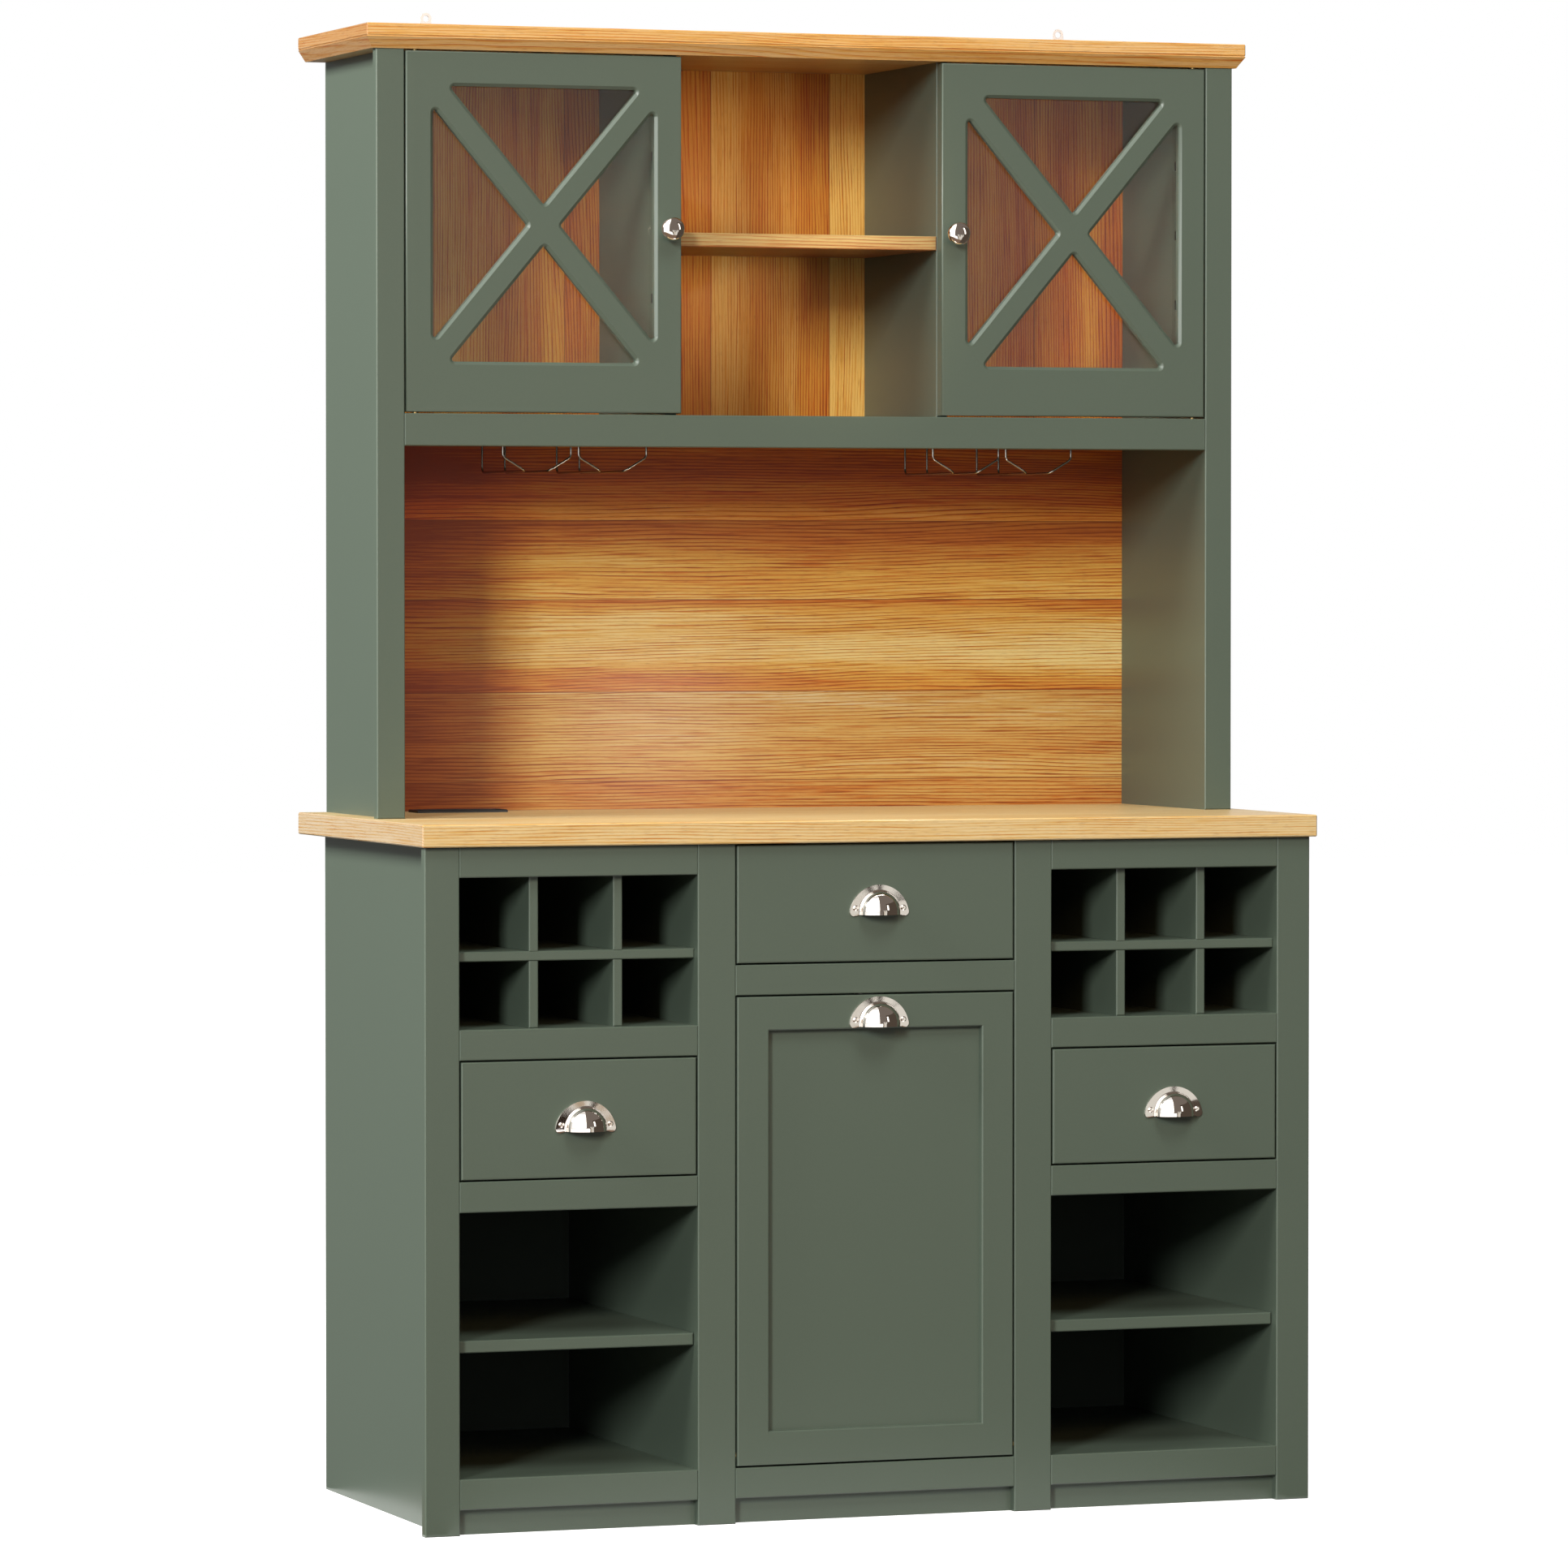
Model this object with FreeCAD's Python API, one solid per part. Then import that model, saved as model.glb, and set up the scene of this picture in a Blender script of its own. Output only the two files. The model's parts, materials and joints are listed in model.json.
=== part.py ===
import FreeCAD, Part
import math
import os

# Overall sizes, in millimetres
base_width = 1188.0
base_depth = 529.0
counter_height = 880.0
cabinet_height = 1880.0
hutch_width = 1168.0
hutch_depth = 297.0

# Board thicknesses and edges
panel = 15.0
frame_thick = 14.0
front_thick = 18.0
back_thick = 6.0
rack_thick = 12.0
shelf_thick = 18.0
worktop_thick = 28.0
arris = 1.2
front_round = 2.0

# Fits
front_gap = 2.0
fit_gap = 0.2
groove_depth = 5.0
shelf_end_gap = 1.0

# Face frame of the base
stile_width = 45.0
post_width = 50.0
middle_bay = 375.0
rail_height = 38.0
plinth_height = 32.0
open_bay_height = 330.0
side_drawer_opening = 150.0
middle_drawer_opening = 152.0
base_back_inset = 12.0
base_shelf_height = 225.0

# Bottle rack
rack_back_gap = 97.0
rack_lower_height = 83.5
rack_middle = 98.0

# Worktop and power outlet
worktop_side_over = 6.0
worktop_front_over = 11.0
worktop_ease = 1.5
outlet_x = -403.0
outlet_back_gap = 30.0
outlet_width = 122.0
outlet_depth = 41.0
outlet_rise = 3.5
outlet_flange = 5.0
outlet_drop = 46.0
outlet_well = 1.2
socket_size = 27.0
socket_pitch = 34.0

# Hutch
hutch_stile = 37.0
hutch_rail_height = 41.0
niche_height = 470.0
middle_compartment = 356.0
hutch_shelf_height = 215.5
hutch_back_inset = 6.0
crown_front_over = 10.0
crown_side_over = 15.0
crown_board = 15.5
crown_mould = 15.5
crown_bevel = 9.5

# Glazed doors
glass_thick = 4.0
glass_depth = 10.0
glass_lap = 8.0
light_side_margin = 36.0
light_top_margin = 43.5
light_bottom_margin = 63.5
bar_width = 33.0
light_corner = 3.0
light_ease = 2.5
clip_end = 85.0
knob_edge = 17.0
knob_radius = 14.2
knob_reach = 24.0
knob_rose = 8.0
knob_waist = 5.1
knob_neck = 8.2
knob_flare = 11.3
knob_flare_reach = 10.0
knob_brim = 13.9
knob_steps = 5
knob_flats = 24
knob_height = 234.0

# Tilting bin door
bin_frame_width = 41.0
bin_recess = 11.0
bin_bevel = 1.5
bin_tilt = 40.0
cradle_width = 340.0
cradle_depth = 250.0
cradle_height = 370.0
cradle_lift = 20.0
cradle_corner = 70.0
cradle_back = 120.0
stop_peg_radius = 5.0
stop_peg_inset = 10.0

# Pivots of the three doors
pivot_edge = 14.0
pivot_face = 7.0
pin_radius = 2.5
pin_fit = 0.05
pin_tang = 18.0
bush_radius = 4.0
bush_depth = 10.0
bush_proud = 1.6

# Drawers
drawer_side = 12.0
drawer_bottom = 4.0
drawer_height = 100.0
drawer_back_gap = 73.0
drawer_clear = 20.0
runner_space = 13.0
runner_height = 36.0
runner_back_gap = 93.0
runner_wall = 1.2
runner_reach = 10.0
runner_slack = 0.4
spacer_back_gap = 67.0

# Cup pulls
pull_width = 80.0
pull_height = 40.0
pull_reach = 23.0
pull_plate = 2.0
pull_wall = 1.8
pull_cup_radius = 26.0
pull_skirt = 4.0
pull_lip = 2.0
pull_dome_turn = 80.0
pull_dome_steps = 6
pull_flats = 18
pull_corner = 5.0
pull_rise = 2.5
pull_shift_left = 7.5
pull_shift_middle = 3.5
pull_shift_right = 11.5

# Stemware racks
wire = 2.8
stem_slot = 31.0
stem_pitch = 102.0
stem_rack_x = 294.0
stem_mouth = 91.5
stem_length = 181.0
stem_back_gap = 21.0
stem_drop = 56.0
stem_flare = 18.0
stem_bend = 7.0
stem_strip = 12.0
stem_strip_thick = 2.0

# Wall hangers and small hardware
hanger_left_x = -426.5
hanger_right_x = 458.0
hanger_width = 15.0
hanger_thick = 2.0
hanger_rise = 36.5
hanger_hole = 4.0
bracket_setback = 100.0
bracket_width = 14.0
bracket_reach = 12.0
bracket_drop = 10.0
bracket_thick = 1.6
catch_width = 12.0
catch_height = 34.0
catch_depth = 16.0
strike_thick = 1.0

# Levels and planes worked out from the sizes above
z_under = counter_height - worktop_thick
z_floor = plinth_height + rail_height
z_deck = z_floor + open_bay_height + rail_height
z_rack = z_deck + side_drawer_opening + rail_height
z_mid = z_under - middle_drawer_opening
z_crown = cabinet_height - crown_board - crown_mould
z_niche = counter_height + niche_height
z_hutch = z_niche + hutch_rail_height
y_face = (pull_reach - base_depth) / 2
y_wall = y_face + base_depth
y_frame = y_face + frame_thick
y_base_back = y_wall - base_back_inset - back_thick
y_hutch = y_wall - hutch_depth
y_hutch_frame = y_hutch + frame_thick
y_hutch_board = y_hutch + front_thick + front_gap
y_hutch_back = y_wall - hutch_back_inset - back_thick
x_side = base_width / 2 - stile_width
x_mid = middle_bay / 2
x_part = x_mid + post_width
x_hutch = hutch_width / 2 - hutch_stile
x_divide = middle_compartment / 2


def point(x, y, z):
    """A place in the cabinet's own frame."""
    return FreeCAD.Vector(x, y, z)


def block(x0, x1, y0, y1, z0, z1):
    """A plain board between two corners."""
    return Part.makeBox(x1 - x0, y1 - y0, z1 - z0, point(x0, y0, z0))


def edges_at(shape, test):
    """The edges whose two ends both pass the test."""
    return [edge for edge in shape.Edges if all(test(v.Point) for v in edge.Vertexes)]


def edges_before(shape, rear):
    """The edges that don't lie on the rear plane."""
    return [edge for edge in shape.Edges if min(v.Y for v in edge.Vertexes) < rear - 1]


def along(shape, direction):
    """The straight edges that run along a direction."""
    return [edge for edge in shape.Edges if abs(edge.tangentAt(edge.FirstParameter).dot(direction)) > 0.99]


def faced(x0, x1, y0, y1, z0, z1):
    """A board whose four front edges have a small chamfer."""
    board = block(x0, x1, y0, y1, z0, z1)
    return board.makeChamfer(arris, edges_at(board, lambda p: abs(p.y - y0) < 1e-6))


def rounded_front(x0, x1, z0, z1, y0):
    """A door or drawer front whose four front edges are rounded over."""
    board = block(x0, x1, y0, y0 + front_thick, z0, z1)
    return board.makeFillet(front_round, edges_at(board, lambda p: abs(p.y - y0) < 1e-6))


def round_bar(radius, length, start, direction):
    """A plain round bar."""
    return Part.makeCylinder(radius, length, start, direction)


def mirrored(shape):
    """The same piece for the other side of the cabinet."""
    return shape.mirror(point(0, 0, 0), point(1, 0, 0))


def both(make):
    """A left piece and its mirror image."""
    left = make()
    return left, mirrored(left)


def extruded(points, direction):
    """A closed flat outline pushed along a direction."""
    face = Part.Face(Part.makePolygon(points + points[:1]))
    return face.extrude(direction)


def stacked(rings):
    """A closed solid with flat sides through a stack of like outlines."""
    loops = [rings[0], rings[-1]]
    for low, high in zip(rings, rings[1:]):
        for i in range(len(low)):
            loops.append([low[i - 1], low[i], high[i], high[i - 1]])
    shell = Part.makeShell([Part.Face(Part.makePolygon(loop + loop[:1])) for loop in loops])
    shell.sewShape()
    solid = Part.makeSolid(shell)
    if solid.Volume < 0:
        solid.reverse()
    return solid


def save(node, *solids):
    """Write one named piece, or a group of like pieces."""
    shape = solids[0] if len(solids) == 1 else Part.makeCompound(list(solids))
    shape.exportStep("parts/" + node + ".step")


# Carcass of the base
def back_groove(x_inner, y_front, z0, z1):
    """The groove that holds a back panel in a left-hand side."""
    return block(x_inner - groove_depth, x_inner + 1, y_front, y_front + back_thick + fit_gap, z0, z1)


def bracket_places():
    """The depth of the front and the rear shelf brackets."""
    return y_frame + bracket_setback, y_base_back - bracket_setback - bracket_width


def base_side():
    """Left side panel, inside the outer edge of the face frame."""
    board = block(-x_side - panel, -x_side, y_frame, y_wall, 0, z_under)
    return board.cut(back_groove(-x_side, y_base_back, 0, z_under))


def base_partition():
    """Left upright, flush with the bay edge of its post."""
    return block(-x_part, -x_part + panel, y_frame, y_base_back, z_floor, z_under)


def base_back():
    """Back panel, held in the grooves of the sides."""
    reach = x_side + groove_depth - fit_gap
    return block(-reach, reach, y_base_back, y_base_back + back_thick, z_floor - panel, z_under)


def bay_board(top):
    """A fixed board across the left bay."""
    return block(-x_side, -x_part, y_frame, y_base_back, top - panel, top)


def loose_shelf():
    """The left loose shelf, resting on four brackets."""
    z0 = base_shelf_height
    x0 = -x_side + shelf_end_gap
    x1 = -x_part - shelf_end_gap
    return faced(x0, x1, y_frame + shelf_end_gap, y_base_back - shelf_end_gap, z0, z0 + panel)


def shelf_bracket(x, inward, y):
    """A small steel angle under one corner of a shelf."""
    z = base_shelf_height
    t = bracket_thick
    outline = [
        point(x, y, z),
        point(x, y, z - bracket_drop),
        point(x + inward * t, y, z - bracket_drop),
        point(x + inward * t, y, z - t),
        point(x + inward * bracket_reach, y, z - t),
        point(x + inward * bracket_reach, y, z),
    ]
    return extruded(outline, point(0, bracket_width, 0))


def shelf_brackets():
    """The four brackets of the left shelf."""
    sides = ((-x_side, 1), (-x_part, -1))
    return [shelf_bracket(x, inward, y) for x, inward in sides for y in bracket_places()]


# Face frame of the base
def bush_hole(x, y, z, direction):
    """The hole that a pivot bush is pressed into."""
    return round_bar(bush_radius, bush_depth, point(x, y, z), direction)


def bin_pivot_height():
    """The level of the bin door's tilt axis."""
    return z_floor + front_gap + pivot_edge


def frame_stile():
    """Left outer stile, standing proud of the side panel."""
    return faced(-base_width / 2, -x_side, y_face, y_frame, 0, z_under)


def frame_post():
    """Left inner post, with the hole for a bin door bush."""
    post = faced(-x_part, -x_mid, y_face, y_frame, 0, z_under)
    return post.cut(bush_hole(-x_mid, y_face + pivot_face, bin_pivot_height(), point(-1, 0, 0)))


def frame_rail(x0, x1, top):
    """One rail between two uprights of the face frame."""
    return faced(x0, x1, y_face, y_frame, top - rail_height, top)


def side_rails():
    """The four rails of the left bay."""
    return [frame_rail(-x_side, -x_part, top) for top in (z_floor, z_deck, z_rack, z_under)]


def middle_rails():
    """The two rails of the middle bay."""
    return [frame_rail(-x_mid, x_mid, top) for top in (z_floor, z_mid)]


def plinth():
    """The recessed board under the bottom rails."""
    return block(-x_side, x_side, y_frame, y_frame + panel, 0, z_floor - panel)


# Bottle rack with boards that cross in half-depth slots
def rack_lefts():
    """The left face of the two upright boards in the left rack."""
    centre = -(x_side + x_part) / 2
    return [centre - rack_middle / 2 - rack_thick, centre + rack_middle / 2]


def rack_boards():
    """The upright boards and the level board of the left rack."""
    y1 = y_base_back - rack_back_gap
    y_half = (y_frame + y1) / 2
    z0 = z_rack + rack_lower_height
    z1 = z0 + rack_thick
    level = faced(-x_side, -x_part, y_frame, y1, z0, z1)
    uprights = []
    for x0 in rack_lefts():
        x1 = x0 + rack_thick
        level = level.cut(block(x0 - fit_gap, x1 + fit_gap, y_half, y1, z0, z1))
        upright = faced(x0, x1, y_frame, y1, z_rack, z_under)
        uprights.append(upright.cut(block(x0, x1, y_frame, y_half, z0 - fit_gap, z1 + fit_gap)))
    return uprights + [level]


# Worktop and its power outlet
def outlet_span(margin):
    """The outlet's plan outline, drawn in by a margin."""
    y1 = y_hutch_back - outlet_back_gap - margin
    x0 = outlet_x - outlet_width / 2 + margin
    return x0, x0 + outlet_width - 2 * margin, y1 - outlet_depth + 2 * margin, y1


def worktop():
    """The worktop, with eased edges and the outlet's cut-out."""
    x1 = base_width / 2 + worktop_side_over
    top = block(-x1, x1, y_face - worktop_front_over, y_wall, z_under, counter_height)
    top = top.makeChamfer(worktop_ease, edges_before(top, y_wall))
    return top.cut(block(*outlet_span(outlet_flange), z_under - 1, counter_height + 1))


def outlet_bezel():
    """The raised rim round the outlet."""
    x0, x1, y0, y1 = outlet_span(0)
    top = counter_height + outlet_rise
    rim = block(x0, x1, y0, y1, counter_height, top)
    rim = rim.makeChamfer(arris, edges_at(rim, lambda p: p.z > counter_height + 1))
    return rim.cut(block(*outlet_span(outlet_flange), counter_height - 1, top + 1))


def socket_cut(x, y, z):
    """Two blades and an earth pin, sunk into one socket."""
    slots = [block(x + s - 1, x + s + 1, y - 4, y + 4, z - outlet_well, z + 1) for s in (-6, 6)]
    earth = round_bar(2.4, outlet_well + 1, point(x, y - 9, z - outlet_well), point(0, 0, 1))
    return slots + [earth]


def outlet_housing():
    """The outlet's body, let down through the worktop."""
    x0, x1, y0, y1 = outlet_span(outlet_flange + fit_gap)
    top = counter_height + outlet_rise - outlet_well
    body = block(x0, x1, y0, y1, counter_height - outlet_drop, top)
    y = (y0 + y1) / 2
    for x in (outlet_x - socket_pitch / 2, outlet_x + socket_pitch / 2):
        for cut in socket_cut(x, y + 2, top):
            body = body.cut(cut)
        half = socket_size / 2
        rim = block(x - half, x + half, y - half, y + half, top - 0.6, top + 1)
        core = half - 1
        body = body.cut(rim.cut(block(x - core, x + core, y - core, y + core, top - 1, top + 2)))
    return body


# Carcass of the hutch
def hutch_side():
    """Left side of the hutch, standing on the worktop."""
    board = block(-x_hutch - panel, -x_hutch, y_hutch_frame, y_wall, counter_height, z_crown)
    return board.cut(back_groove(-x_hutch, y_hutch_back, counter_height, z_crown))


def hutch_front_stile():
    """Left stile of the hutch's front."""
    x0 = -hutch_width / 2
    return faced(x0, -x_hutch, y_hutch, y_hutch_frame, counter_height, z_crown)


def door_pivot_x():
    """The left door's pivot line."""
    return -x_hutch + front_gap + pivot_edge


def hutch_rail():
    """The rail under the glazed doors, drilled for their pivots."""
    rail = faced(-x_hutch, x_hutch, y_hutch, y_hutch_frame, z_niche, z_hutch)
    for x in (door_pivot_x(), -door_pivot_x()):
        rail = rail.cut(bush_hole(x, y_hutch + pivot_face, z_hutch, point(0, 0, -1)))
    return rail


def hutch_floor():
    """The board that carries the hutch's compartments."""
    return block(-x_hutch, x_hutch, y_hutch_frame, y_hutch_back, z_hutch - panel, z_hutch)


def hutch_divider():
    """The upright between the left cupboard and the middle."""
    return faced(-x_divide - panel, -x_divide, y_hutch_board, y_hutch_back, z_hutch, z_crown)


def hutch_shelf():
    """The wooden shelf of the middle compartment."""
    z0 = z_hutch + hutch_shelf_height
    return faced(-x_divide, x_divide, y_hutch_board, y_hutch_back, z0, z0 + shelf_thick)


def hutch_back(z0, z1):
    """A back panel of the hutch, held in the sides' grooves."""
    reach = x_hutch + groove_depth - fit_gap
    return block(-reach, reach, y_hutch_back, y_hutch_back + back_thick, z0, z1)


def crown_outline(inset, z):
    """The crown's outline at one level, with its rear edge held."""
    x = hutch_width / 2 + crown_side_over - inset
    y0 = y_hutch - crown_front_over + inset
    y1 = y_wall - hanger_thick
    corners = [point(-x, y0, z), point(x, y0, z), point(x, y1, z), point(-x, y1, z)]
    return Part.makePolygon(corners + corners[:1])


def crown_top():
    """The upper crown board."""
    z0 = z_crown + crown_mould
    board = Part.Face(crown_outline(0, z0)).extrude(point(0, 0, crown_board))
    return board.makeChamfer(arris, edges_before(board, y_wall - hanger_thick))


def crown_moulding():
    """The lower crown board, bevelled at the front and both ends."""
    step = arris
    rise = crown_mould - step
    widest = crown_outline(0, z_crown + rise)
    bevel = Part.makeLoft([crown_outline(crown_bevel, z_crown), widest], True, True)
    lip = Part.makeLoft([widest, crown_outline(step, z_crown + crown_mould)], True, True)
    board = bevel.fuse(lip)
    for x in (door_pivot_x(), -door_pivot_x()):
        board = board.cut(bush_hole(x, y_hutch + pivot_face, z_crown, point(0, 0, 1)))
    return board


# Pivots: a sleeve in the cabinet and a pin in the door
def pivot_bush(seat, direction):
    """A sleeve that stands a little proud of its seat, for the door to run on."""
    start = seat - direction * bush_depth
    sleeve = round_bar(bush_radius - pin_fit, bush_depth + bush_proud, start, direction)
    return sleeve.cut(round_bar(pin_radius + pin_fit, bush_depth + bush_proud, start, direction))


def pivot_pin(seat, direction):
    """A pin that turns in the sleeve and is pressed into the door."""
    start = seat - direction * (bush_depth - fit_gap)
    return round_bar(pin_radius, bush_depth - fit_gap + front_gap + pin_tang, start, direction)


def placed(shape, seat, direction):
    """A piece built along +Z, turned and moved to its seat."""
    turn = FreeCAD.Rotation(point(0, 0, 1), direction)
    result = shape.copy()
    result.Placement = FreeCAD.Placement(seat, turn)
    return result


def pin_hole(seat, direction):
    """The hole that a pivot pin is pressed into."""
    start = seat + direction * (front_gap - 1)
    return round_bar(pin_radius + pin_fit, pin_tang + fit_gap + 1, start, direction)


def door_seats():
    """Where the left glazed door turns, below and above."""
    x = door_pivot_x()
    y = y_hutch + pivot_face
    return [(point(x, y, z_hutch), point(0, 0, 1)), (point(x, y, z_crown), point(0, 0, -1))]


def bin_seats():
    """Where the bin door turns, left and right."""
    y = y_face + pivot_face
    z = bin_pivot_height()
    return [(point(-x_mid, y, z), point(1, 0, 0)), (point(x_mid, y, z), point(-1, 0, 0))]


# Glazed doors
def door_span():
    """The left door's outline: left, right, bottom, top."""
    return -x_hutch + front_gap, -x_divide, z_hutch + front_gap, z_crown - front_gap


def light_span():
    """The outline round the door's four lights."""
    x0, x1, z0, z1 = door_span()
    return x0 + light_side_margin, x1 - light_side_margin, z0 + light_bottom_margin, z1 - light_top_margin


def light_corners():
    """The corners of the four lights between the crossed bars."""
    x0, x1, z0, z1 = light_span()
    wide = x1 - x0
    tall = z1 - z0
    slant = math.hypot(wide, tall)
    step_x = bar_width / 2 * slant / tall
    step_z = bar_width / 2 * slant / wide
    xc = (x0 + x1) / 2
    zc = (z0 + z1) / 2
    return [
        [(x0 + step_x, z1), (x1 - step_x, z1), (xc, zc + step_z)],
        [(x0 + step_x, z0), (xc, zc - step_z), (x1 - step_x, z0)],
        [(x0, z0 + step_z), (x0, z1 - step_z), (xc - step_x, zc)],
        [(x1, z0 + step_z), (xc + step_x, zc), (x1, z1 - step_z)],
    ]


def light_cut(corners):
    """One light through the door, with rounded corners."""
    low = y_hutch - front_thick
    prism = extruded([point(x, low, z) for x, z in corners], point(0, 3 * front_thick, 0))
    return prism.makeFillet(light_corner, along(prism, point(0, 1, 0)))


def front_loops(shape, y):
    """The edges of the lights on the door's front face."""
    face = [f for f in shape.Faces if abs(f.CenterOfMass.y - y) < 1e-6][0]
    loops = [loop for loop in face.Wires if not loop.isSame(face.OuterWire)]
    return [edge for loop in loops for edge in loop.Edges]


def glass_span():
    """The pane's outline in its rebate."""
    x0, x1, z0, z1 = light_span()
    return x0 - glass_lap, x1 + glass_lap, z0 - glass_lap, z1 + glass_lap


def door_frame():
    """The routed frame of the left door."""
    x0, x1, z0, z1 = door_span()
    frame = rounded_front(x0, x1, z0, z1, y_hutch)
    for corners in light_corners():
        frame = frame.cut(light_cut(corners))
    frame = frame.makeChamfer(light_ease, front_loops(frame, y_hutch))
    gx0, gx1, gz0, gz1 = glass_span()
    rear = y_hutch + front_thick
    rebate = block(gx0, gx1, y_hutch + glass_depth, rear + 1, gz0, gz1)
    frame = frame.cut(rebate)
    for seat, direction in door_seats():
        frame = frame.cut(pin_hole(seat, direction))
    return frame


def door_glass():
    """The left door's pane."""
    x0, x1, z0, z1 = glass_span()
    y0 = y_hutch + glass_depth
    g = fit_gap
    return block(x0 + g, x1 - g, y0, y0 + glass_thick, z0 + g, z1 - g)


def glass_clip(x, z, inward):
    """A small stepped clip that holds the pane from behind."""
    y_glass = y_hutch + glass_depth + glass_thick
    y_rear = y_hutch + front_thick
    reach = glass_lap
    outline = [
        point(x - inward * reach, y_rear, z),
        point(x, y_rear, z),
        point(x, y_glass, z),
        point(x + inward * reach, y_glass, z),
        point(x + inward * reach, y_glass + 2, z),
        point(x + inward * 2, y_rear + 2, z),
        point(x - inward * reach, y_rear + 2, z),
    ]
    return extruded(outline, point(0, 0, catch_width))


def door_fittings():
    """Pivot pins, pane clips and the catch's strike of the left door."""
    pieces = [pivot_pin(seat, direction) for seat, direction in door_seats()]
    x0, x1, z0, z1 = glass_span()
    ends = [z0 + clip_end, z1 - clip_end - catch_width]
    for z in ends + [(z0 + z1 - catch_width) / 2]:
        pieces.append(glass_clip(x0 + fit_gap, z, 1))
    for z in ends:
        pieces.append(glass_clip(x1 - fit_gap, z, -1))
    z = strike_height()
    x_strike = -x_divide - panel - catch_width
    y = y_hutch + front_thick
    pieces.append(block(x_strike, x_strike + catch_width, y, y + strike_thick, z, z + catch_height))
    return pieces


def strike_height():
    """The bottom of the glazed doors' catches."""
    z0 = door_span()[2]
    return z0 + knob_height - catch_height / 2


def turned_ring(radius, height):
    """One ring of a turned piece, drawn with flats."""
    turns = [2 * math.pi * i / knob_flats for i in range(knob_flats)]
    return [point(radius * math.cos(a), radius * math.sin(a), height) for a in turns]


def knob():
    """The left door's round knob on its waisted stem."""
    x = -x_divide - knob_edge
    z = door_span()[2] + knob_height
    turns = [math.radians(80.0 * i / knob_steps) for i in range(knob_steps + 1)]
    cap = [(knob_radius * math.cos(a), knob_brim + (knob_reach - knob_brim) * math.sin(a)) for a in turns]
    profile = [(knob_rose, 0), (knob_waist, knob_neck), (knob_flare, knob_flare_reach)] + cap
    body = stacked([turned_ring(r, h) for r, h in profile])
    return placed(body, point(x, y_hutch, z), point(0, -1, 0))


def door_catch():
    """The left door's magnetic catch, on the divider."""
    y0 = y_hutch + front_thick + strike_thick + fit_gap
    x1 = -x_divide - panel
    z = strike_height()
    body = block(x1 - catch_width, x1, y0, y0 + catch_depth, z, z + catch_height)
    return body.makeChamfer(arris, edges_at(body, lambda p: p.x < x1 - 1))


# Cup pulls
def pull_plate_face():
    """The half-moon plate that lies on the front."""
    half = pull_width / 2
    r = pull_corner
    low = point(-half, 0, r)
    edges = [
        Part.LineSegment(point(-half + r, 0, 0), point(half - r, 0, 0)).toShape(),
        Part.Arc(point(half - r, 0, 0), arc_mid(half - r, r, r, -45), point(half, 0, r)).toShape(),
        Part.Arc(point(half, 0, r), point(0, 0, pull_height), low).toShape(),
        Part.Arc(low, arc_mid(r - half, r, r, 225), point(-half + r, 0, 0)).toShape(),
    ]
    return Part.Face(Part.Wire(edges))


def arc_mid(x, z, radius, degrees):
    """A point on a circle in the plane of the plate."""
    angle = math.radians(degrees)
    return point(x + radius * math.cos(angle), 0, z + radius * math.sin(angle))


def cup_outline(radius, y, skirt):
    """The cup's outline at one depth: a half round over a short straight skirt."""
    turns = [math.pi * i / pull_flats for i in range(pull_flats + 1)]
    arch = [point(radius * math.cos(a), y, radius * math.sin(a)) for a in turns]
    return arch + [point(-radius, y, -skirt), point(radius, y, -skirt)]


def cup_solid(inset):
    """The cup's bulge, drawn in by an inset: outlines that close in towards a flat front."""
    turns = [math.radians(pull_dome_turn * i / pull_dome_steps) for i in range(pull_dome_steps + 1)]
    radius = pull_cup_radius - inset
    reach = (pull_reach - inset) / math.sin(turns[-1])
    skirt = pull_skirt + inset
    outlines = [cup_outline(radius * math.cos(a), -reach * math.sin(a), skirt) for a in turns]
    if inset:
        outlines.insert(0, cup_outline(radius, inset, skirt))
    return stacked(outlines)


def cup_pull(x, y, z):
    """A cup pull whose plate is centred at a place on a front."""
    plate = pull_plate_face().extrude(point(0, -pull_plate, 0))
    lift = point(0, 0, pull_skirt + pull_lip)
    outer = cup_solid(0).translated(lift)
    inner = cup_solid(pull_wall).translated(lift)
    return plate.fuse(outer).cut(inner).translated(point(x, y, z - pull_height / 2))


# Drawers on side-mounted steel runners
def channel(x, sign, reach, height, y0, y1, z):
    """A steel channel whose web lies at x and whose flanges point along sign."""
    w = runner_wall
    half = height / 2
    outline = [
        point(x, y0, z - half),
        point(x + sign * reach, y0, z - half),
        point(x + sign * reach, y0, z - half + w),
        point(x + sign * w, y0, z - half + w),
        point(x + sign * w, y0, z + half - w),
        point(x + sign * reach, y0, z + half - w),
        point(x + sign * reach, y0, z + half),
        point(x, y0, z + half),
    ]
    return extruded(outline, point(0, y1 - y0, 0))


def runner_level(z0):
    """The centre line of a drawer's runners."""
    return z0 + drawer_clear + runner_height / 2


def cabinet_runners(x0, x1, z0):
    """The fixed channels of one drawer."""
    y0 = y_face + front_thick
    z = runner_level(z0)
    span = (y0, y_base_back - runner_back_gap, z)
    size = (runner_reach, runner_height)
    return [channel(x0, 1, *size, *span), channel(x1, -1, *size, *span)]


def drawer_runners(x0, x1, z0):
    """The channels on the sides of one drawer."""
    y0 = y_face + front_thick
    z = runner_level(z0)
    size = (runner_reach, runner_height - 2 * (runner_wall + runner_slack))
    s = runner_space
    span = (y0, y_base_back - runner_back_gap, z)
    return [channel(x0 + s, -1, *size, *span), channel(x1 - s, 1, *size, *span)]


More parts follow.
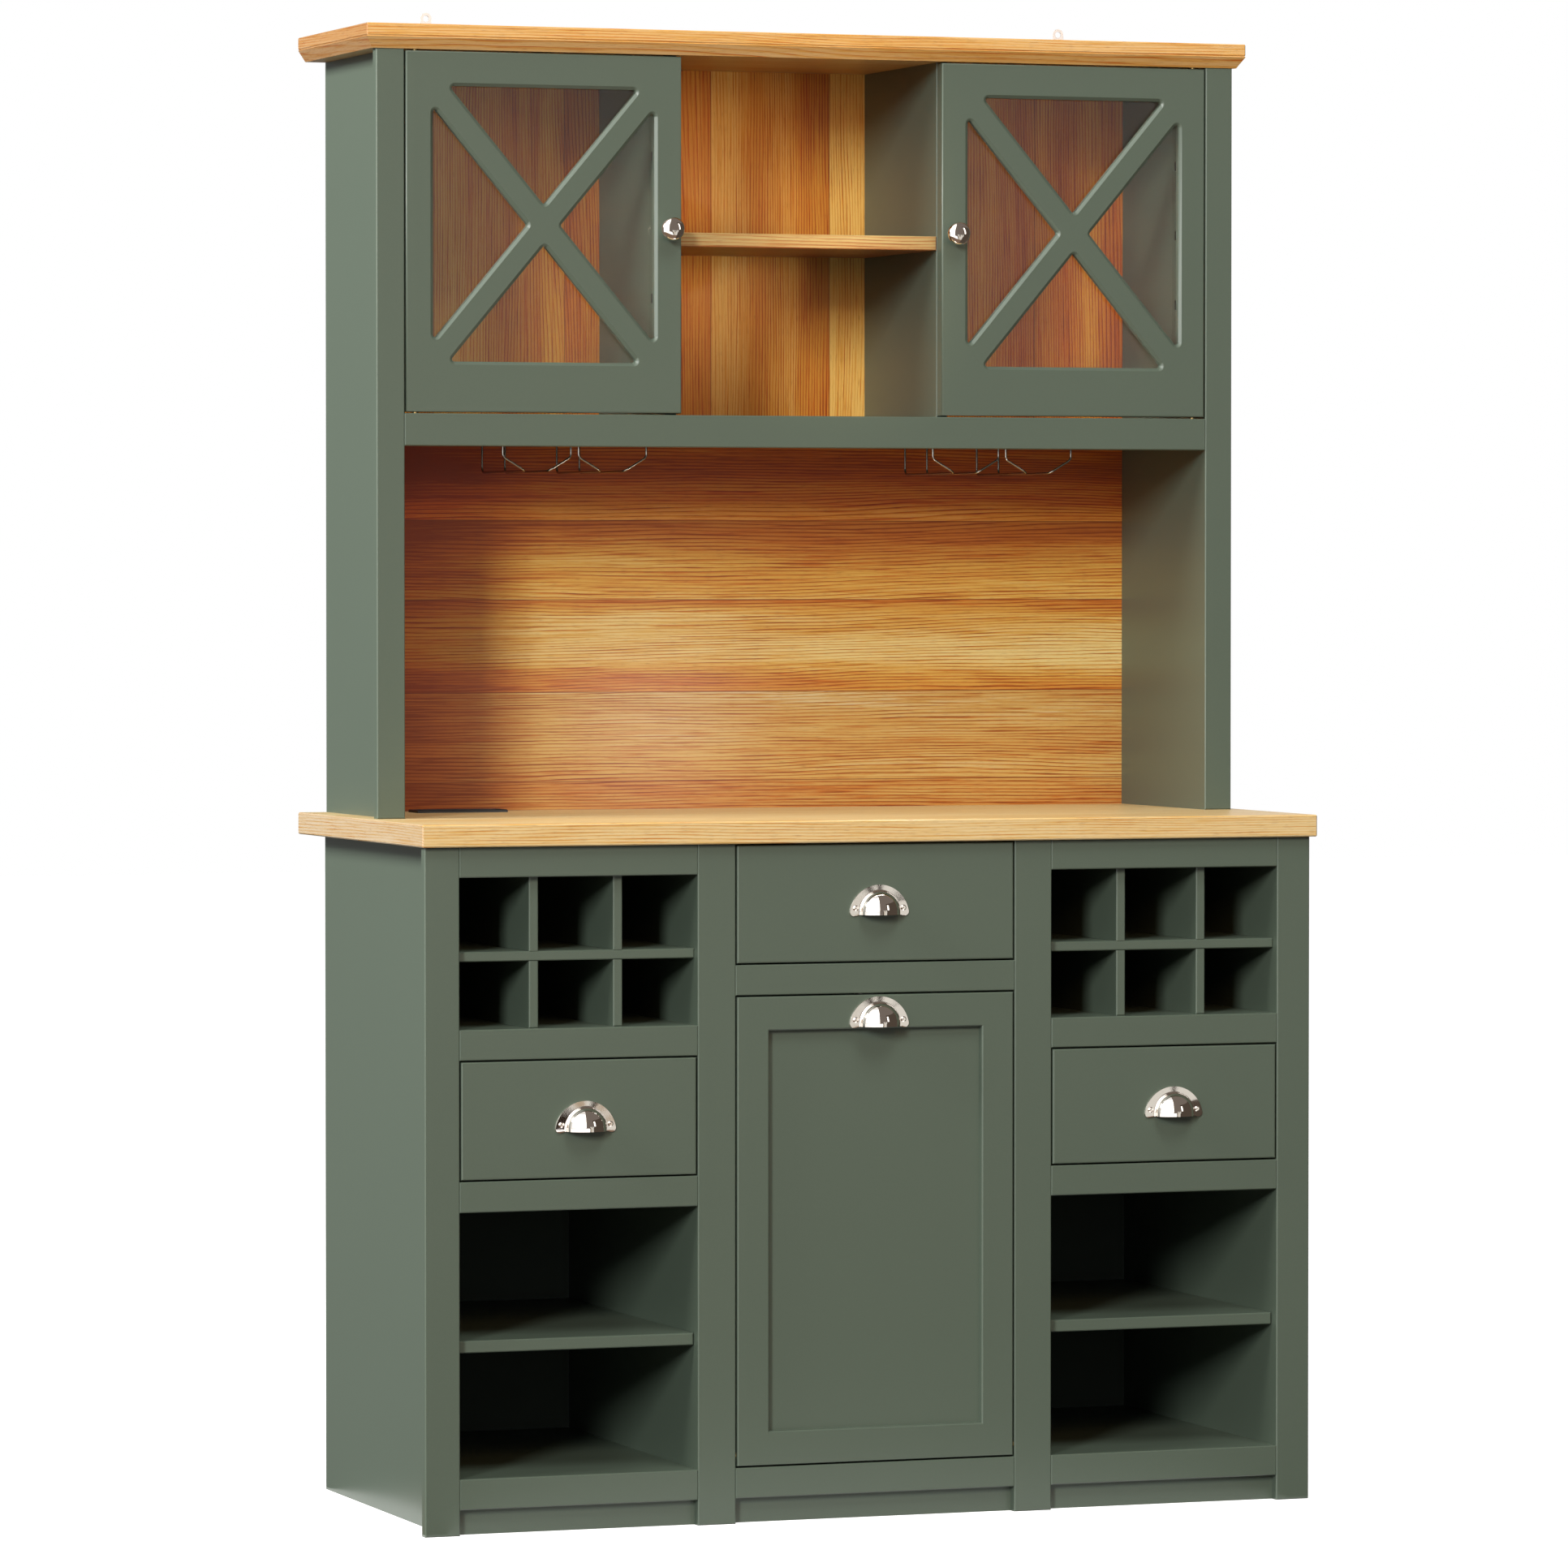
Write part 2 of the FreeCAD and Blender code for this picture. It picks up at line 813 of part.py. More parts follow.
def drawer_front(x0, x1, z0, z1):
    """A drawer front with a rounded front edge."""
    g = front_gap
    return rounded_front(x0 + g, x1 - g, z0 + g, z1 - g, y_face)


def drawer_box(x0, x1, z0):
    """The boards of one drawer box, its bottom held in grooves."""
    xa = x0 + runner_space
    xb = x1 - runner_space
    ya = y_face + front_thick
    yb = y_base_back - drawer_back_gap
    za = z0 + drawer_clear
    zb = za + drawer_height
    t = drawer_side
    half = t / 2
    low = za + t
    bottom = block(xa + half, xb - half, ya + half, yb - half, low, low + drawer_bottom)
    boards = [
        block(xa, xa + t, ya, yb, za, zb),
        block(xb - t, xb, ya, yb, za, zb),
        block(xa + t, xb - t, ya, ya + t, za, zb),
        block(xa + t, xb - t, yb - t, yb, za, zb),
    ]
    return [board.cut(bottom) for board in boards] + [bottom]


def drawer(name, x0, x1, z0, z1, shift):
    """Write the moving pieces of one drawer."""
    save(name + "_front", drawer_front(x0, x1, z0, z1))
    save(name + "_box", *drawer_box(x0, x1, z0))
    save(name + "_runners", *drawer_runners(x0, x1, z0))
    save(name + "_pull", cup_pull((x0 + x1) / 2 + shift, y_face, (z0 + z1) / 2 + pull_rise))


def runner_spacer():
    """The left batten that brings the middle runners in to the post's edge."""
    z = runner_level(z_mid)
    half = runner_height / 2 + 2
    return block(-x_part + panel, -x_mid, y_frame, y_base_back - spacer_back_gap, z - half, z + half)


# Tilting bin door
def bin_span():
    """The bin door's outline: left, right, bottom, top."""
    return -x_mid + front_gap, x_mid - front_gap, z_floor + front_gap, z_mid - rail_height - front_gap


def bin_rectangle(inset, y):
    """The outline of the bin door's recess at one depth."""
    x0, x1, z0, z1 = bin_span()
    m = bin_frame_width + inset
    plan = [(x0 + m, z0 + m), (x1 - m, z0 + m), (x1 - m, z1 - m), (x0 + m, z1 - m)]
    corners = [point(x, y, z) for x, z in plan]
    return Part.makePolygon(corners + corners[:1])


def bin_door():
    """The bin door, with a bevelled recess in its face."""
    x0, x1, z0, z1 = bin_span()
    board = rounded_front(x0, x1, z0, z1, y_face)
    outlines = [bin_rectangle(0, y_face), bin_rectangle(bin_bevel, y_face + bin_bevel)]
    bevel = Part.makeLoft(outlines, True, True)
    recess = Part.Face(bin_rectangle(bin_bevel, y_face)).extrude(point(0, bin_recess, 0))
    board = board.cut(bevel).cut(recess)
    for seat, direction in bin_seats():
        board = board.cut(pin_hole(seat, direction))
    return board


def cradle_side(x):
    """One cheek of the bin cradle, with a rounded rear top corner."""
    y0 = y_face + front_thick
    y1 = y0 + cradle_depth
    z0 = z_floor + cradle_lift
    z1 = z0 + cradle_height
    r = cradle_corner
    slant = r * (1 - math.sqrt(0.5))
    edges = [
        Part.LineSegment(point(x, y0, z0), point(x, y1, z0)).toShape(),
        Part.LineSegment(point(x, y1, z0), point(x, y1, z1 - r)).toShape(),
        Part.Arc(point(x, y1, z1 - r), point(x, y1 - slant, z1 - slant), point(x, y1 - r, z1)).toShape(),
        Part.LineSegment(point(x, y1 - r, z1), point(x, y0, z1)).toShape(),
        Part.LineSegment(point(x, y0, z1), point(x, y0, z0)).toShape(),
    ]
    return Part.Face(Part.Wire(edges)).extrude(point(rack_thick, 0, 0))


def bin_cradle():
    """The cheeks, base and back of the cradle that holds a bin."""
    x = cradle_width / 2
    inner = x - rack_thick
    y0 = y_face + front_thick
    y1 = y0 + cradle_depth
    z0 = z_floor + cradle_lift
    base = block(-inner, inner, y0, y1, z0, z0 + rack_thick)
    back = block(-inner, inner, y1 - rack_thick, y1, z0 + rack_thick, z0 + cradle_back)
    return [cradle_side(-x), cradle_side(inner), base, back]


def stop_pegs():
    """The pegs that meet the posts at full tilt."""
    angle = math.radians(bin_tilt)
    clear = frame_thick - pivot_face + stop_peg_radius + fit_gap
    back = front_thick + cradle_depth - stop_peg_inset - pivot_face
    y = y_face + pivot_face + back
    z = bin_pivot_height() + (back * math.cos(angle) - clear) / math.sin(angle)
    reach = x_mid + post_width / 3 - cradle_width / 2
    left = round_bar(stop_peg_radius, reach, point(-cradle_width / 2, y, z), point(-1, 0, 0))
    return [left, mirrored(left)]


def bin_fittings():
    """The bin door's pivot pins, stop pegs and strike."""
    pieces = [pivot_pin(seat, direction) for seat, direction in bin_seats()]
    y = y_face + front_thick
    z1 = bin_span()[3] - front_round
    strike = block(-catch_height / 2, catch_height / 2, y, y + strike_thick, z1 - catch_width, z1)
    return pieces + stop_pegs() + [strike]


def bin_catch():
    """The magnetic catch hung behind the middle rail."""
    y0 = y_face + front_thick + strike_thick + fit_gap
    z0 = bin_span()[3] - front_round - catch_width
    z1 = z_mid - rail_height + catch_width
    low = z_mid - rail_height + fit_gap
    outline = [
        point(0, y0, z0),
        point(0, y0 + catch_depth, z0),
        point(0, y0 + catch_depth, z1),
        point(0, y_frame, z1),
        point(0, y_frame, low),
        point(0, y0, low),
    ]
    return extruded(outline, point(catch_height, 0, 0)).translated(point(-catch_height / 2, 0, 0))


# Stemware racks of bent wire under the hutch
def bent_path(points, radius):
    """A path of straight runs whose corners are bent in three short steps."""
    path = [points[0]]
    for i in range(1, len(points) - 1):
        corner = points[i]
        back = (points[i - 1] - corner).normalize()
        ahead = (points[i + 1] - corner).normalize()
        half = back.getAngle(ahead) / 2
        reach = radius / math.tan(half)
        middle = corner + (back + ahead).normalize() * (radius / math.sin(half) - radius)
        path += [corner + back * reach, middle, corner + ahead * reach]
    return Part.makePolygon(path + [points[-1]])


def bent_wire(points):
    """A wire bent along a path that starts upright, drawn with eight flats."""
    turns = [math.radians(22.5 + 45 * i) for i in range(8)]
    ring = [points[0] + point(math.cos(a), math.sin(a), 0) * (wire / 2) for a in turns]
    profile = Part.makePolygon(ring + ring[:1])
    return bent_path(points, stem_bend).makePipeShell([profile], True, False, 1)


def stem_depths():
    """The front and rear planes of the stemware racks."""
    rear = y_hutch_back - stem_back_gap
    return rear - stem_length, rear


def stem_wire(x, flare):
    """One wire: down at the back, along the slot, out and up at the front."""
    y0, y1 = stem_depths()
    top = z_hutch - panel - stem_strip_thick
    low = z_hutch - panel - stem_drop
    return bent_wire([
        point(x, y1, top),
        point(x, y1, low),
        point(x, y0, low),
        point(x + flare, y0, low + stem_flare),
        point(x + flare, y0, top),
    ])


def stem_rack():
    """The left stemware rack: two slots of wire under two screw strips."""
    spread = (stem_mouth - stem_slot) / 2
    pieces = []
    for centre in (-stem_rack_x - stem_pitch / 2, -stem_rack_x + stem_pitch / 2):
        pieces.append(stem_wire(centre - stem_slot / 2, -spread))
        pieces.append(stem_wire(centre + stem_slot / 2, spread))
    return pieces + [stem_strip_bar(y) for y in stem_depths()]


def stem_strip_bar(y):
    """One flat strip, screwed up under the hutch."""
    half = stem_pitch / 2 + stem_mouth / 2 + stem_strip
    side = stem_strip / 2
    z1 = z_hutch - panel
    strip = block(-stem_rack_x - half, -stem_rack_x + half, y - side, y + side, z1 - stem_strip_thick, z1)
    return strip.makeChamfer(side / 2, along(strip, point(0, 0, 1)))


# Wall hangers behind the crown
def wall_hanger(x):
    """A ring-headed plate screwed to the back of the crown."""
    half = hanger_width / 2
    y0 = y_wall - hanger_thick
    top = cabinet_height + hanger_rise - half
    low = z_crown + half
    edges = [
        Part.LineSegment(point(x - half, y0, low), point(x - half, y0, top)).toShape(),
        Part.Arc(point(x - half, y0, top), point(x, y0, top + half), point(x + half, y0, top)).toShape(),
        Part.LineSegment(point(x + half, y0, top), point(x + half, y0, low)).toShape(),
        Part.Arc(point(x + half, y0, low), point(x, y0, low - half), point(x - half, y0, low)).toShape(),
    ]
    plate = Part.Face(Part.Wire(edges)).extrude(point(0, hanger_thick, 0))
    return plate.cut(round_bar(hanger_hole, 2 * hanger_thick, point(x, y0 - 1, top), point(0, 1, 0)))


def write_base():
    """Write the fixed pieces of the base."""
    for side, turn in (("left", Part.Shape.copy), ("right", mirrored)):
        save("base_side_" + side, turn(base_side()))
        save("bottle_rack_" + side, *[turn(board) for board in rack_boards()])
    save("loose_shelves", *both(loose_shelf))
    save("frame_stiles", *both(frame_stile))
    save("base_partitions", *both(base_partition))
    save("frame_posts", *both(frame_post))
    save("base_bottom", block(-x_side, x_side, y_frame, y_base_back, z_floor - panel, z_floor))
    save("base_back", base_back())
    rails = side_rails()
    save("frame_rails", *rails, *[mirrored(rail) for rail in rails], *middle_rails())
    save("plinth", plinth())
    fixed = [bay_board(z_deck), bay_board(z_rack)]
    save("bay_boards", *fixed, *[mirrored(board) for board in fixed])
    brackets = shelf_brackets()
    save("shelf_brackets", *brackets, *[mirrored(bracket) for bracket in brackets])
    save("runner_spacers", *both(runner_spacer))
    bays = [(-x_side, -x_part, z_deck), (x_part, x_side, z_deck), (-x_mid, x_mid, z_mid)]
    save("cabinet_runners", *[channel_piece for bay in bays for channel_piece in cabinet_runners(*bay)])
    save("worktop", worktop())
    save("outlet_bezel", outlet_bezel())
    save("outlet_housing", outlet_housing())


def write_hutch():
    """Write the fixed pieces of the hutch."""
    for side, turn in (("left", Part.Shape.copy), ("right", mirrored)):
        save("hutch_side_" + side, turn(hutch_side()))
        save("stemware_rack_" + side, *[turn(piece) for piece in stem_rack()])
    save("hutch_stiles", *both(hutch_front_stile))
    save("hutch_rail", hutch_rail())
    save("hutch_floor", hutch_floor())
    save("hutch_dividers", *both(hutch_divider))
    save("hutch_shelf", hutch_shelf())
    joint = z_hutch - panel / 2
    save("hutch_back", hutch_back(joint, z_crown))
    save("backsplash", hutch_back(counter_height, joint))
    save("crown_top", crown_top())
    save("crown_moulding", crown_moulding())
    save("wall_hangers", wall_hanger(hanger_left_x), wall_hanger(hanger_right_x))
    bushes = [pivot_bush(seat, direction) for seat, direction in door_seats()]
    bin_bushes = [pivot_bush(seat, direction) for seat, direction in bin_seats()]
    save("pivot_bushes", *bushes, *[mirrored(bush) for bush in bushes], *bin_bushes)
    save("magnet_catches", *both(door_catch), bin_catch())


def write_doors():
    """Write the glazed doors and the bin door."""
    for side, turn in (("left", Part.Shape.copy), ("right", mirrored)):
        save(side + "_door_frame", turn(door_frame()))
        save(side + "_door_glass", turn(door_glass()))
        save(side + "_door_knob", turn(knob()))
        save(side + "_door_fittings", *[turn(piece) for piece in door_fittings()])
    save("bin_door", bin_door())
    save("bin_cradle", *bin_cradle())
    save("bin_fittings", *bin_fittings())
    top = bin_span()[3]
    save("bin_pull", cup_pull(pull_shift_middle, y_face, top - front_gap - pull_height / 2))


os.makedirs("parts", exist_ok=True)
write_base()
write_hutch()
write_doors()
drawer("left_drawer", -x_side, -x_part, z_deck, z_rack - rail_height, pull_shift_left)
drawer("right_drawer", x_part, x_side, z_deck, z_rack - rail_height, pull_shift_right)
drawer("middle_drawer", -x_mid, x_mid, z_mid, z_under, pull_shift_middle)
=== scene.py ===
import json
import math

import bmesh
import bpy
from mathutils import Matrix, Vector


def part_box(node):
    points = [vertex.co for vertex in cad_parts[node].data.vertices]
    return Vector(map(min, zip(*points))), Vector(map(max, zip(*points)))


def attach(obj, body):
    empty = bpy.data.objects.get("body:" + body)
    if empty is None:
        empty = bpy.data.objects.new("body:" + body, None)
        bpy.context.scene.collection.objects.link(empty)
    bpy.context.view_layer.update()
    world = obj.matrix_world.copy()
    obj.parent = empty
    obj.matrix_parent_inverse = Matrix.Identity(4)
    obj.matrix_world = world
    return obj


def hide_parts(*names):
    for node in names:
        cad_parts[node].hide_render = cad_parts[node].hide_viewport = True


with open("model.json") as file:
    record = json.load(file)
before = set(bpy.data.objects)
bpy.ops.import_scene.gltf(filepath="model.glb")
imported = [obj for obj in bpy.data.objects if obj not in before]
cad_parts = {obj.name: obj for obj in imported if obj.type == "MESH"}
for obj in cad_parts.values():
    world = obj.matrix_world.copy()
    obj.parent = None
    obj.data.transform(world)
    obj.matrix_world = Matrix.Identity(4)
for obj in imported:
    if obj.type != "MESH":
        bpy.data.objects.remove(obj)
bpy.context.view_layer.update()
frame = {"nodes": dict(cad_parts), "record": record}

bl_info = {
    "name": "Tall kitchen cabinet",
    "version": (1, 0, 0),
    "blender": (4, 5, 0),
    "location": "3D View > Sidebar > Cabinet",
    "description": "Finishes, hardware and stage of a painted kitchen cabinet with an oak worktop",
    "category": "Object",
}

NODES = frame["nodes"]
RECORD = frame["record"]
SLOT_OF = {part["node"]: part["material_slot"] for part in RECORD["subparts"]}
BODIES = RECORD["behaviour"]["bodies"]
BODY_OF = {node: body for body, nodes in BODIES.items() for node in nodes}
PULLS = ("left_drawer_pull", "right_drawer_pull", "middle_drawer_pull", "bin_pull")
KNOBS = ("left_door_knob", "right_door_knob")
DOOR_FRAMES = ("left_door_frame", "right_door_frame")
DULL_FITTINGS = ("left_door_fittings", "right_door_fittings", "bin_fittings")
STEM_RACKS = ("stemware_rack_left", "stemware_rack_right")

# Fixed sizes, in metres
MERGE = 1e-6  # points closer than this are one
SLIVER = 1e-7  # edges shorter than this are taken out
ROUTED_EDGE = 0.0015  # how much wider the door frames' routed edges are at the front
FRAME_RIM = 0.004  # points this near to a door frame's outline aren't on a light's edge
PLATE_EASE = 0.0003  # eased front edge of a pull's plate
PULL_SCREW = (0.0022, 0.0011)  # rise and recess of a pull's screw head
SCREW_SINK = 0.0004  # how far a pull's screw head is sunk into its plate
STRIP_SCREW = (0.0032, 0.0018, 0.001)  # radius, rise and recess of a strip's screw head
STRIP_SCREW_INSET = 0.006  # from the end of a strip to its outer screws
JOINT_HALF = 0.0006  # half the width of the line where two boards meet

# Counts
PULL_ARC = 22  # points on the round of a pull's plate or cup
CUP_STEPS = 22  # rings from the cup's root to its front
ROOT_STEPS = 4
SKIRT_STEPS = 6
CORNER_STEPS = 6
KNOB_STEPS = 24
KNOB_SIDES = 56
SCREW_SIDES = 28
WIRE_SIDES = 16
BEND_STEPS = 8
STRIP_STEPS = 10

# Shares and angles of the small pieces
PLATE_BAND = 0.55  # straight part of the plate's rim
PLATE_FLAT = (0.06, 0.92)  # where the plate's face starts and ends between rim and cup
CORNER_START = -100.0  # degrees at which the plate's lower corner begins
KNOB_SHARE = 0.53  # a knob's radius as a share of its node's height
KNOB_STEM = (
    (0.60, 0.0), (0.62, 0.02), (0.60, 0.05), (0.48, 0.08),
    (0.42, 0.14), (0.40, 0.22), (0.43, 0.29),
)
KNOB_MIDDLE, KNOB_DEPTH = 0.66, 0.34  # centre and half depth of the ball, in the knob's reach
KNOB_LOW = -62.0  # degrees at which the ball leaves the stem
KNOB_FLAT = 0.72  # below 1, the ball's face is flatter and its edge fuller
SCREW_CROWN, SCREW_ARM = 0.62, 1.05  # flat top and recess of a screw head, in its radius

# Oak grain: stretch along, across and through the board, detail and roughness of each pattern
GRAIN = {
    "figure": ((0.9, 6.5, 6.5), 2.0, 0.5),
    "ripple": ((5.0, 40.0, 40.0), 2.0, 0.5),
    "fade": ((5.0, 70.0, 70.0), 2.0, 0.6),
    "dashes": ((13.0, 430.0, 430.0), 2.0, 0.55),
    "broad": ((1.2, 24.0, 24.0), 3.0, 0.55),
    "pores": ((60.0, 1500.0, 1500.0), 2.0, 0.5),
}
FIGURE_RINGS, RIPPLE_RINGS = 13.0, 1.4  # growth rings by which each bends the lines
SLANT = 0.7  # how much the rings turn through the board
LATE_START, LATE_POWER = 0.35, 2.8  # start of the late growth in a ring, and its steepness
LATE_SHARE, DASH_SHARE, BROAD_SHARE = 0.48, 0.42, 0.42  # how much each pattern changes the tone
DASH_LATE, DASH_ALL = 0.7, 0.3  # share of the dashes in the late growth, and everywhere
RING_HEIGHT, PORE_DEPTH = 0.3, 0.8

# Oak finish
OAK_STOPS = (0.06, 0.34, 0.64, 0.94)  # tones of the four oak colours
PORE_SHADE, PORE_SHARE, PORE_GLOSS = 0.6, 0.45, 0.15
JOINT_SHARE = 0.75
SWAY, SWAY_ALONG, SWAY_ACROSS = 0.055, 2.0, 8.0  # how far and how often the tones wander
# Painted shadow of the hutch's left side: the boards are darker and redder at their left ends
PAINTED_SHADOW_SPAN = (-0.46, -0.28)  # along the boards, where the painted shadow of the left side starts and fades out
PAINTED_SHADOW_DARKENING, PAINTED_SHADOW_TINT = 0.36, (1.0, 0.80, 0.50)
PLAIN = (1.0, 1.0, 1.0)
ORIGIN = (0.0, 0.0, 0.0)

# Boards of the backsplash: lower edge, upper edge and the run of tones between them
SPLASH_BOARDS = (
    (0.870, 0.9165, [(0.0, 0.44), (0.42, 0.48), (1.0, 0.50)]),
    (0.9165, 1.0335, [(0.0, 0.62), (0.30, 0.68), (0.72, 0.64), (0.95, 0.72)]),
    (1.0335, 1.1546, [
        (0.0, 0.46), (0.10, 0.60), (0.26, 0.76), (0.50, 0.92), (0.80, 0.80), (1.0, 0.54)]),
    (1.1546, 1.2585, [
        (0.0, 0.86), (0.14, 0.82), (0.30, 0.70), (0.60, 0.54), (0.82, 0.40), (1.0, 0.32)]),
    (1.2585, 1.390, [(0.0, 0.70), (0.12, 0.64), (0.20, 0.44), (0.50, 0.38), (1.0, 0.32)]),
)
# Painted light on the backsplash: the two lowest boards are paler and bluer, a painted sheen; the
# top board is redder, the painted colour of its shade under the hutch
SPLASH_PAINTED_LIGHT = (
    (0.8, SPLASH_BOARDS[2][0], (0.86, 0.94, 1.38)),
    (SPLASH_BOARDS[4][0], 1.5, (1.22, 0.86, 0.54)),
)

# Upright boards of the upper back panel: their runs of tones, and each left edge with its run. The
# first and fourth runs start pale: painted light where a divider's and the left stile's shadows
# fall
BACK_STOPS = (
    [(0.0, 0.98), (0.22, 0.88), (0.36, 0.74), (0.60, 0.66), (0.80, 0.57), (1.0, 0.50)],
    [(0.0, 0.50), (0.30, 0.61), (0.62, 0.65), (1.0, 0.54)],
    [(0.0, 1.0), (0.46, 1.0), (0.66, 0.84), (0.82, 0.66), (1.0, 0.56)],
    [(0.0, 0.80), (0.25, 0.74), (0.55, 0.52), (0.80, 0.48), (0.88, 0.64), (1.0, 0.66)],
    [(0.0, 0.46), (0.30, 0.56), (0.62, 0.58), (1.0, 0.48)],
    [(0.0, 0.62), (0.50, 0.68), (1.0, 0.62)],
)
BACK_EDGES = (
    (-0.560, 5), (-0.420, 3), (-0.241, 1), (-0.038, 0),
    (0.128, 2), (0.262, 4), (0.420, 4), (0.560, 4),
)
BACK_BOARDS = [
    (here[0], there[0], BACK_STOPS[here[1]]) for here, there in zip(BACK_EDGES, BACK_EDGES[1:])
]
BACK_ZONES = (
    (-0.6, -0.19, (0.91, 0.90, 0.90)),
    (0.128, 0.19, (1.12, 1.16, 1.06)),
    (0.19, 0.6, (1.10, 0.94, 0.82)),
)

# Metals: the setting that holds the colour, the roughness and the handling marks
METALS = {
    "polished_nickel": ("nickel", 0.030, 0.01),
    "zinc_steel": ("steel", 0.28, 0.25),
    "wire_chrome": ("chrome", 0.12, 0.12),
    "turned_brass": ("brass", 0.30, 0.20),
    "dull_zinc": ("dull", 0.40, 0.25),
}

# Cards that only reflections see: the colour and strength of each shade
CARD_SHADES = {
    "dusk": ((0.20, 0.17, 0.15), 1.0),
    "dark": ((0.09, 0.07, 0.055), 1.0),
    "grey": ((0.22, 0.22, 0.22), 1.0),
    "brown": ((0.24, 0.16, 0.115), 1.0),
    "bright": ((1.0, 0.99, 0.97), 2.6),
    "deep": ((0.035, 0.025, 0.018), 1.0),
    "cream": ((0.84, 0.83, 0.78), 1.0),
    "beige": ((0.52, 0.42, 0.31), 1.0),
    "glare": ((1.0, 0.97, 0.93), 17.0),
}
FAR, NEAR, ROOM, FLOOR_START = 15.0, 14.9, 4.5, 0.62  # reaches from the stage's middle
FLOOR, CREAM_FLOOR, SHADE_FLOOR = (0.003, 0.003), (0.006, 0.006), (0.009, 0.009)
# Name, shade, reach at the first and second height, turn from and to, the two heights, and steps
CARDS = (
    ("bright_card", "bright", (FAR, FAR), (-80.0, -3.0), (0.7, 36.0), 24),
    ("dusk_card", "dusk", (FAR, FAR), (-3.0, 28.0), (1.6, 9.0), 24),
    ("dusk_low", "dusk", (FAR, FAR), (-3.0, 13.0), (0.0, 1.6), 8),
    ("dark_card", "dark", (FAR, FAR), (28.0, 125.0), (0.0, 9.0), 24),
    ("window_card", "bright", (14.8, 14.8), (31.0, 38.0), (1.8, 7.0), 4),
    ("grey_card", "grey", (FAR, FAR), (-205.0, -112.0), (0.0, 9.0), 24),
    ("grey_floor", "grey", (FLOOR_START, FAR), (-205.0, -100.0), FLOOR, 24),
    ("dusk_roof", "dusk", (0.01, FAR), (-3.0, 205.0), (9.0, 9.0), 48),
    ("brown_floor", "brown", (FLOOR_START, ROOM), (-100.0, 26.0), FLOOR, 24),
    ("dark_floor", "dark", (FLOOR_START, FAR), (26.0, 125.0), FLOOR, 24),
    ("cream_card", "cream", (FAR, FAR), (13.0, 28.0), (0.0, 1.6), 8),
    ("cream_floor", "cream", (ROOM, FAR), (13.0, 26.0), CREAM_FLOOR, 8),
    ("glare_card", "glare", (0.275, 0.275), (-10.0, 30.0), (0.945, 1.03), 8),
)
# What each pull mirrors: turn of a deep bar, turn of a shaded end and the shade of that end
SIGHTS = (
    ((17.9, 18.9), (11.0, 13.8), "deep"),
    ((19.9, 20.9), (14.6, 16.6), "beige"),
    ((23.5, 24.3), (19.0, 19.9), "beige"),
)

# Stage
FLOOR_REACH = 20.0
FLOOR_FADE = (0.6, 2.2, 0.84, 1.0)  # the two reaches and two strengths of the floor's glow
LAMP_AIM = Vector((0.0, 0.0, 0.95))
NICHE_AIM = Vector((-0.08, 0.26, 1.62))
SENSOR, VIEW_END = 36.0, 100.0


# Settings that a user would change
def setting(kind, **fixed):
    """A maker of settings of one kind, from a name, a description and a default."""

    def made(name, description, default):
        return kind(name=name, description=description, default=default, **fixed)

    return made


colour = setting(bpy.props.FloatVectorProperty, subtype="COLOR", min=0.0, max=1.0)
position = setting(bpy.props.FloatVectorProperty, subtype="TRANSLATION")
length = setting(bpy.props.FloatProperty, unit="LENGTH", min=0.0, precision=4)
factor = setting(bpy.props.FloatProperty, subtype="FACTOR", min=0.0, max=1.0)
angle = setting(bpy.props.FloatProperty, subtype="ANGLE")
power = setting(bpy.props.FloatProperty, unit="POWER", min=0.0)
plain_number = setting(bpy.props.FloatProperty)


class CabinetFinish(bpy.types.PropertyGroup):
    """Colours and gloss of the cabinet's finishes."""

    paint: colour("Paint", "Satin paint on the boards", (0.075, 0.101, 0.075))
    paint_roughness: factor("Paint roughness", "How matt the paint is", 0.36)
    oak_deep: colour("Oak, deep", "Reddish brown of the late growth", (0.250, 0.044, 0.005))
    oak_brown: colour("Oak, brown", "Brown between the growth lines", (0.480, 0.136, 0.017))
    oak_honey: colour("Oak, honey", "Main colour of the oak", (0.600, 0.325, 0.078))
    oak_pale: colour("Oak, pale", "Yellow of the early growth", (0.710, 0.530, 0.290))
    oak_roughness: factor("Oak roughness", "How matt the oil finish is", 0.36)
    plywood: colour("Plywood", "Bare wood of the drawer boxes", (0.560, 0.400, 0.240))
    nickel: colour("Nickel", "Polished pulls and knobs", (0.800, 0.745, 0.690))
    steel: colour("Steel", "Zinc plated fittings", (0.560, 0.570, 0.580))
    # Far darker than real chrome: a painted dark reflection on the wires
    chrome: colour("Chrome", "Wires of the stemware racks", (0.340, 0.310, 0.280))
    zinc: colour("Zinc", "Pale zinc of the wall hangers", (0.600, 0.585, 0.580))
    brass: colour("Brass", "Pivot sleeves", (0.220, 0.150, 0.060))
    dull: colour("Dull zinc", "Pins, clips and strikes of the doors", (0.120, 0.112, 0.104))
    black: colour("Black", "Matt moulding of the outlet", (0.013, 0.013, 0.014))
    white: colour("White", "Moulded magnetic catches", (0.740, 0.735, 0.710))


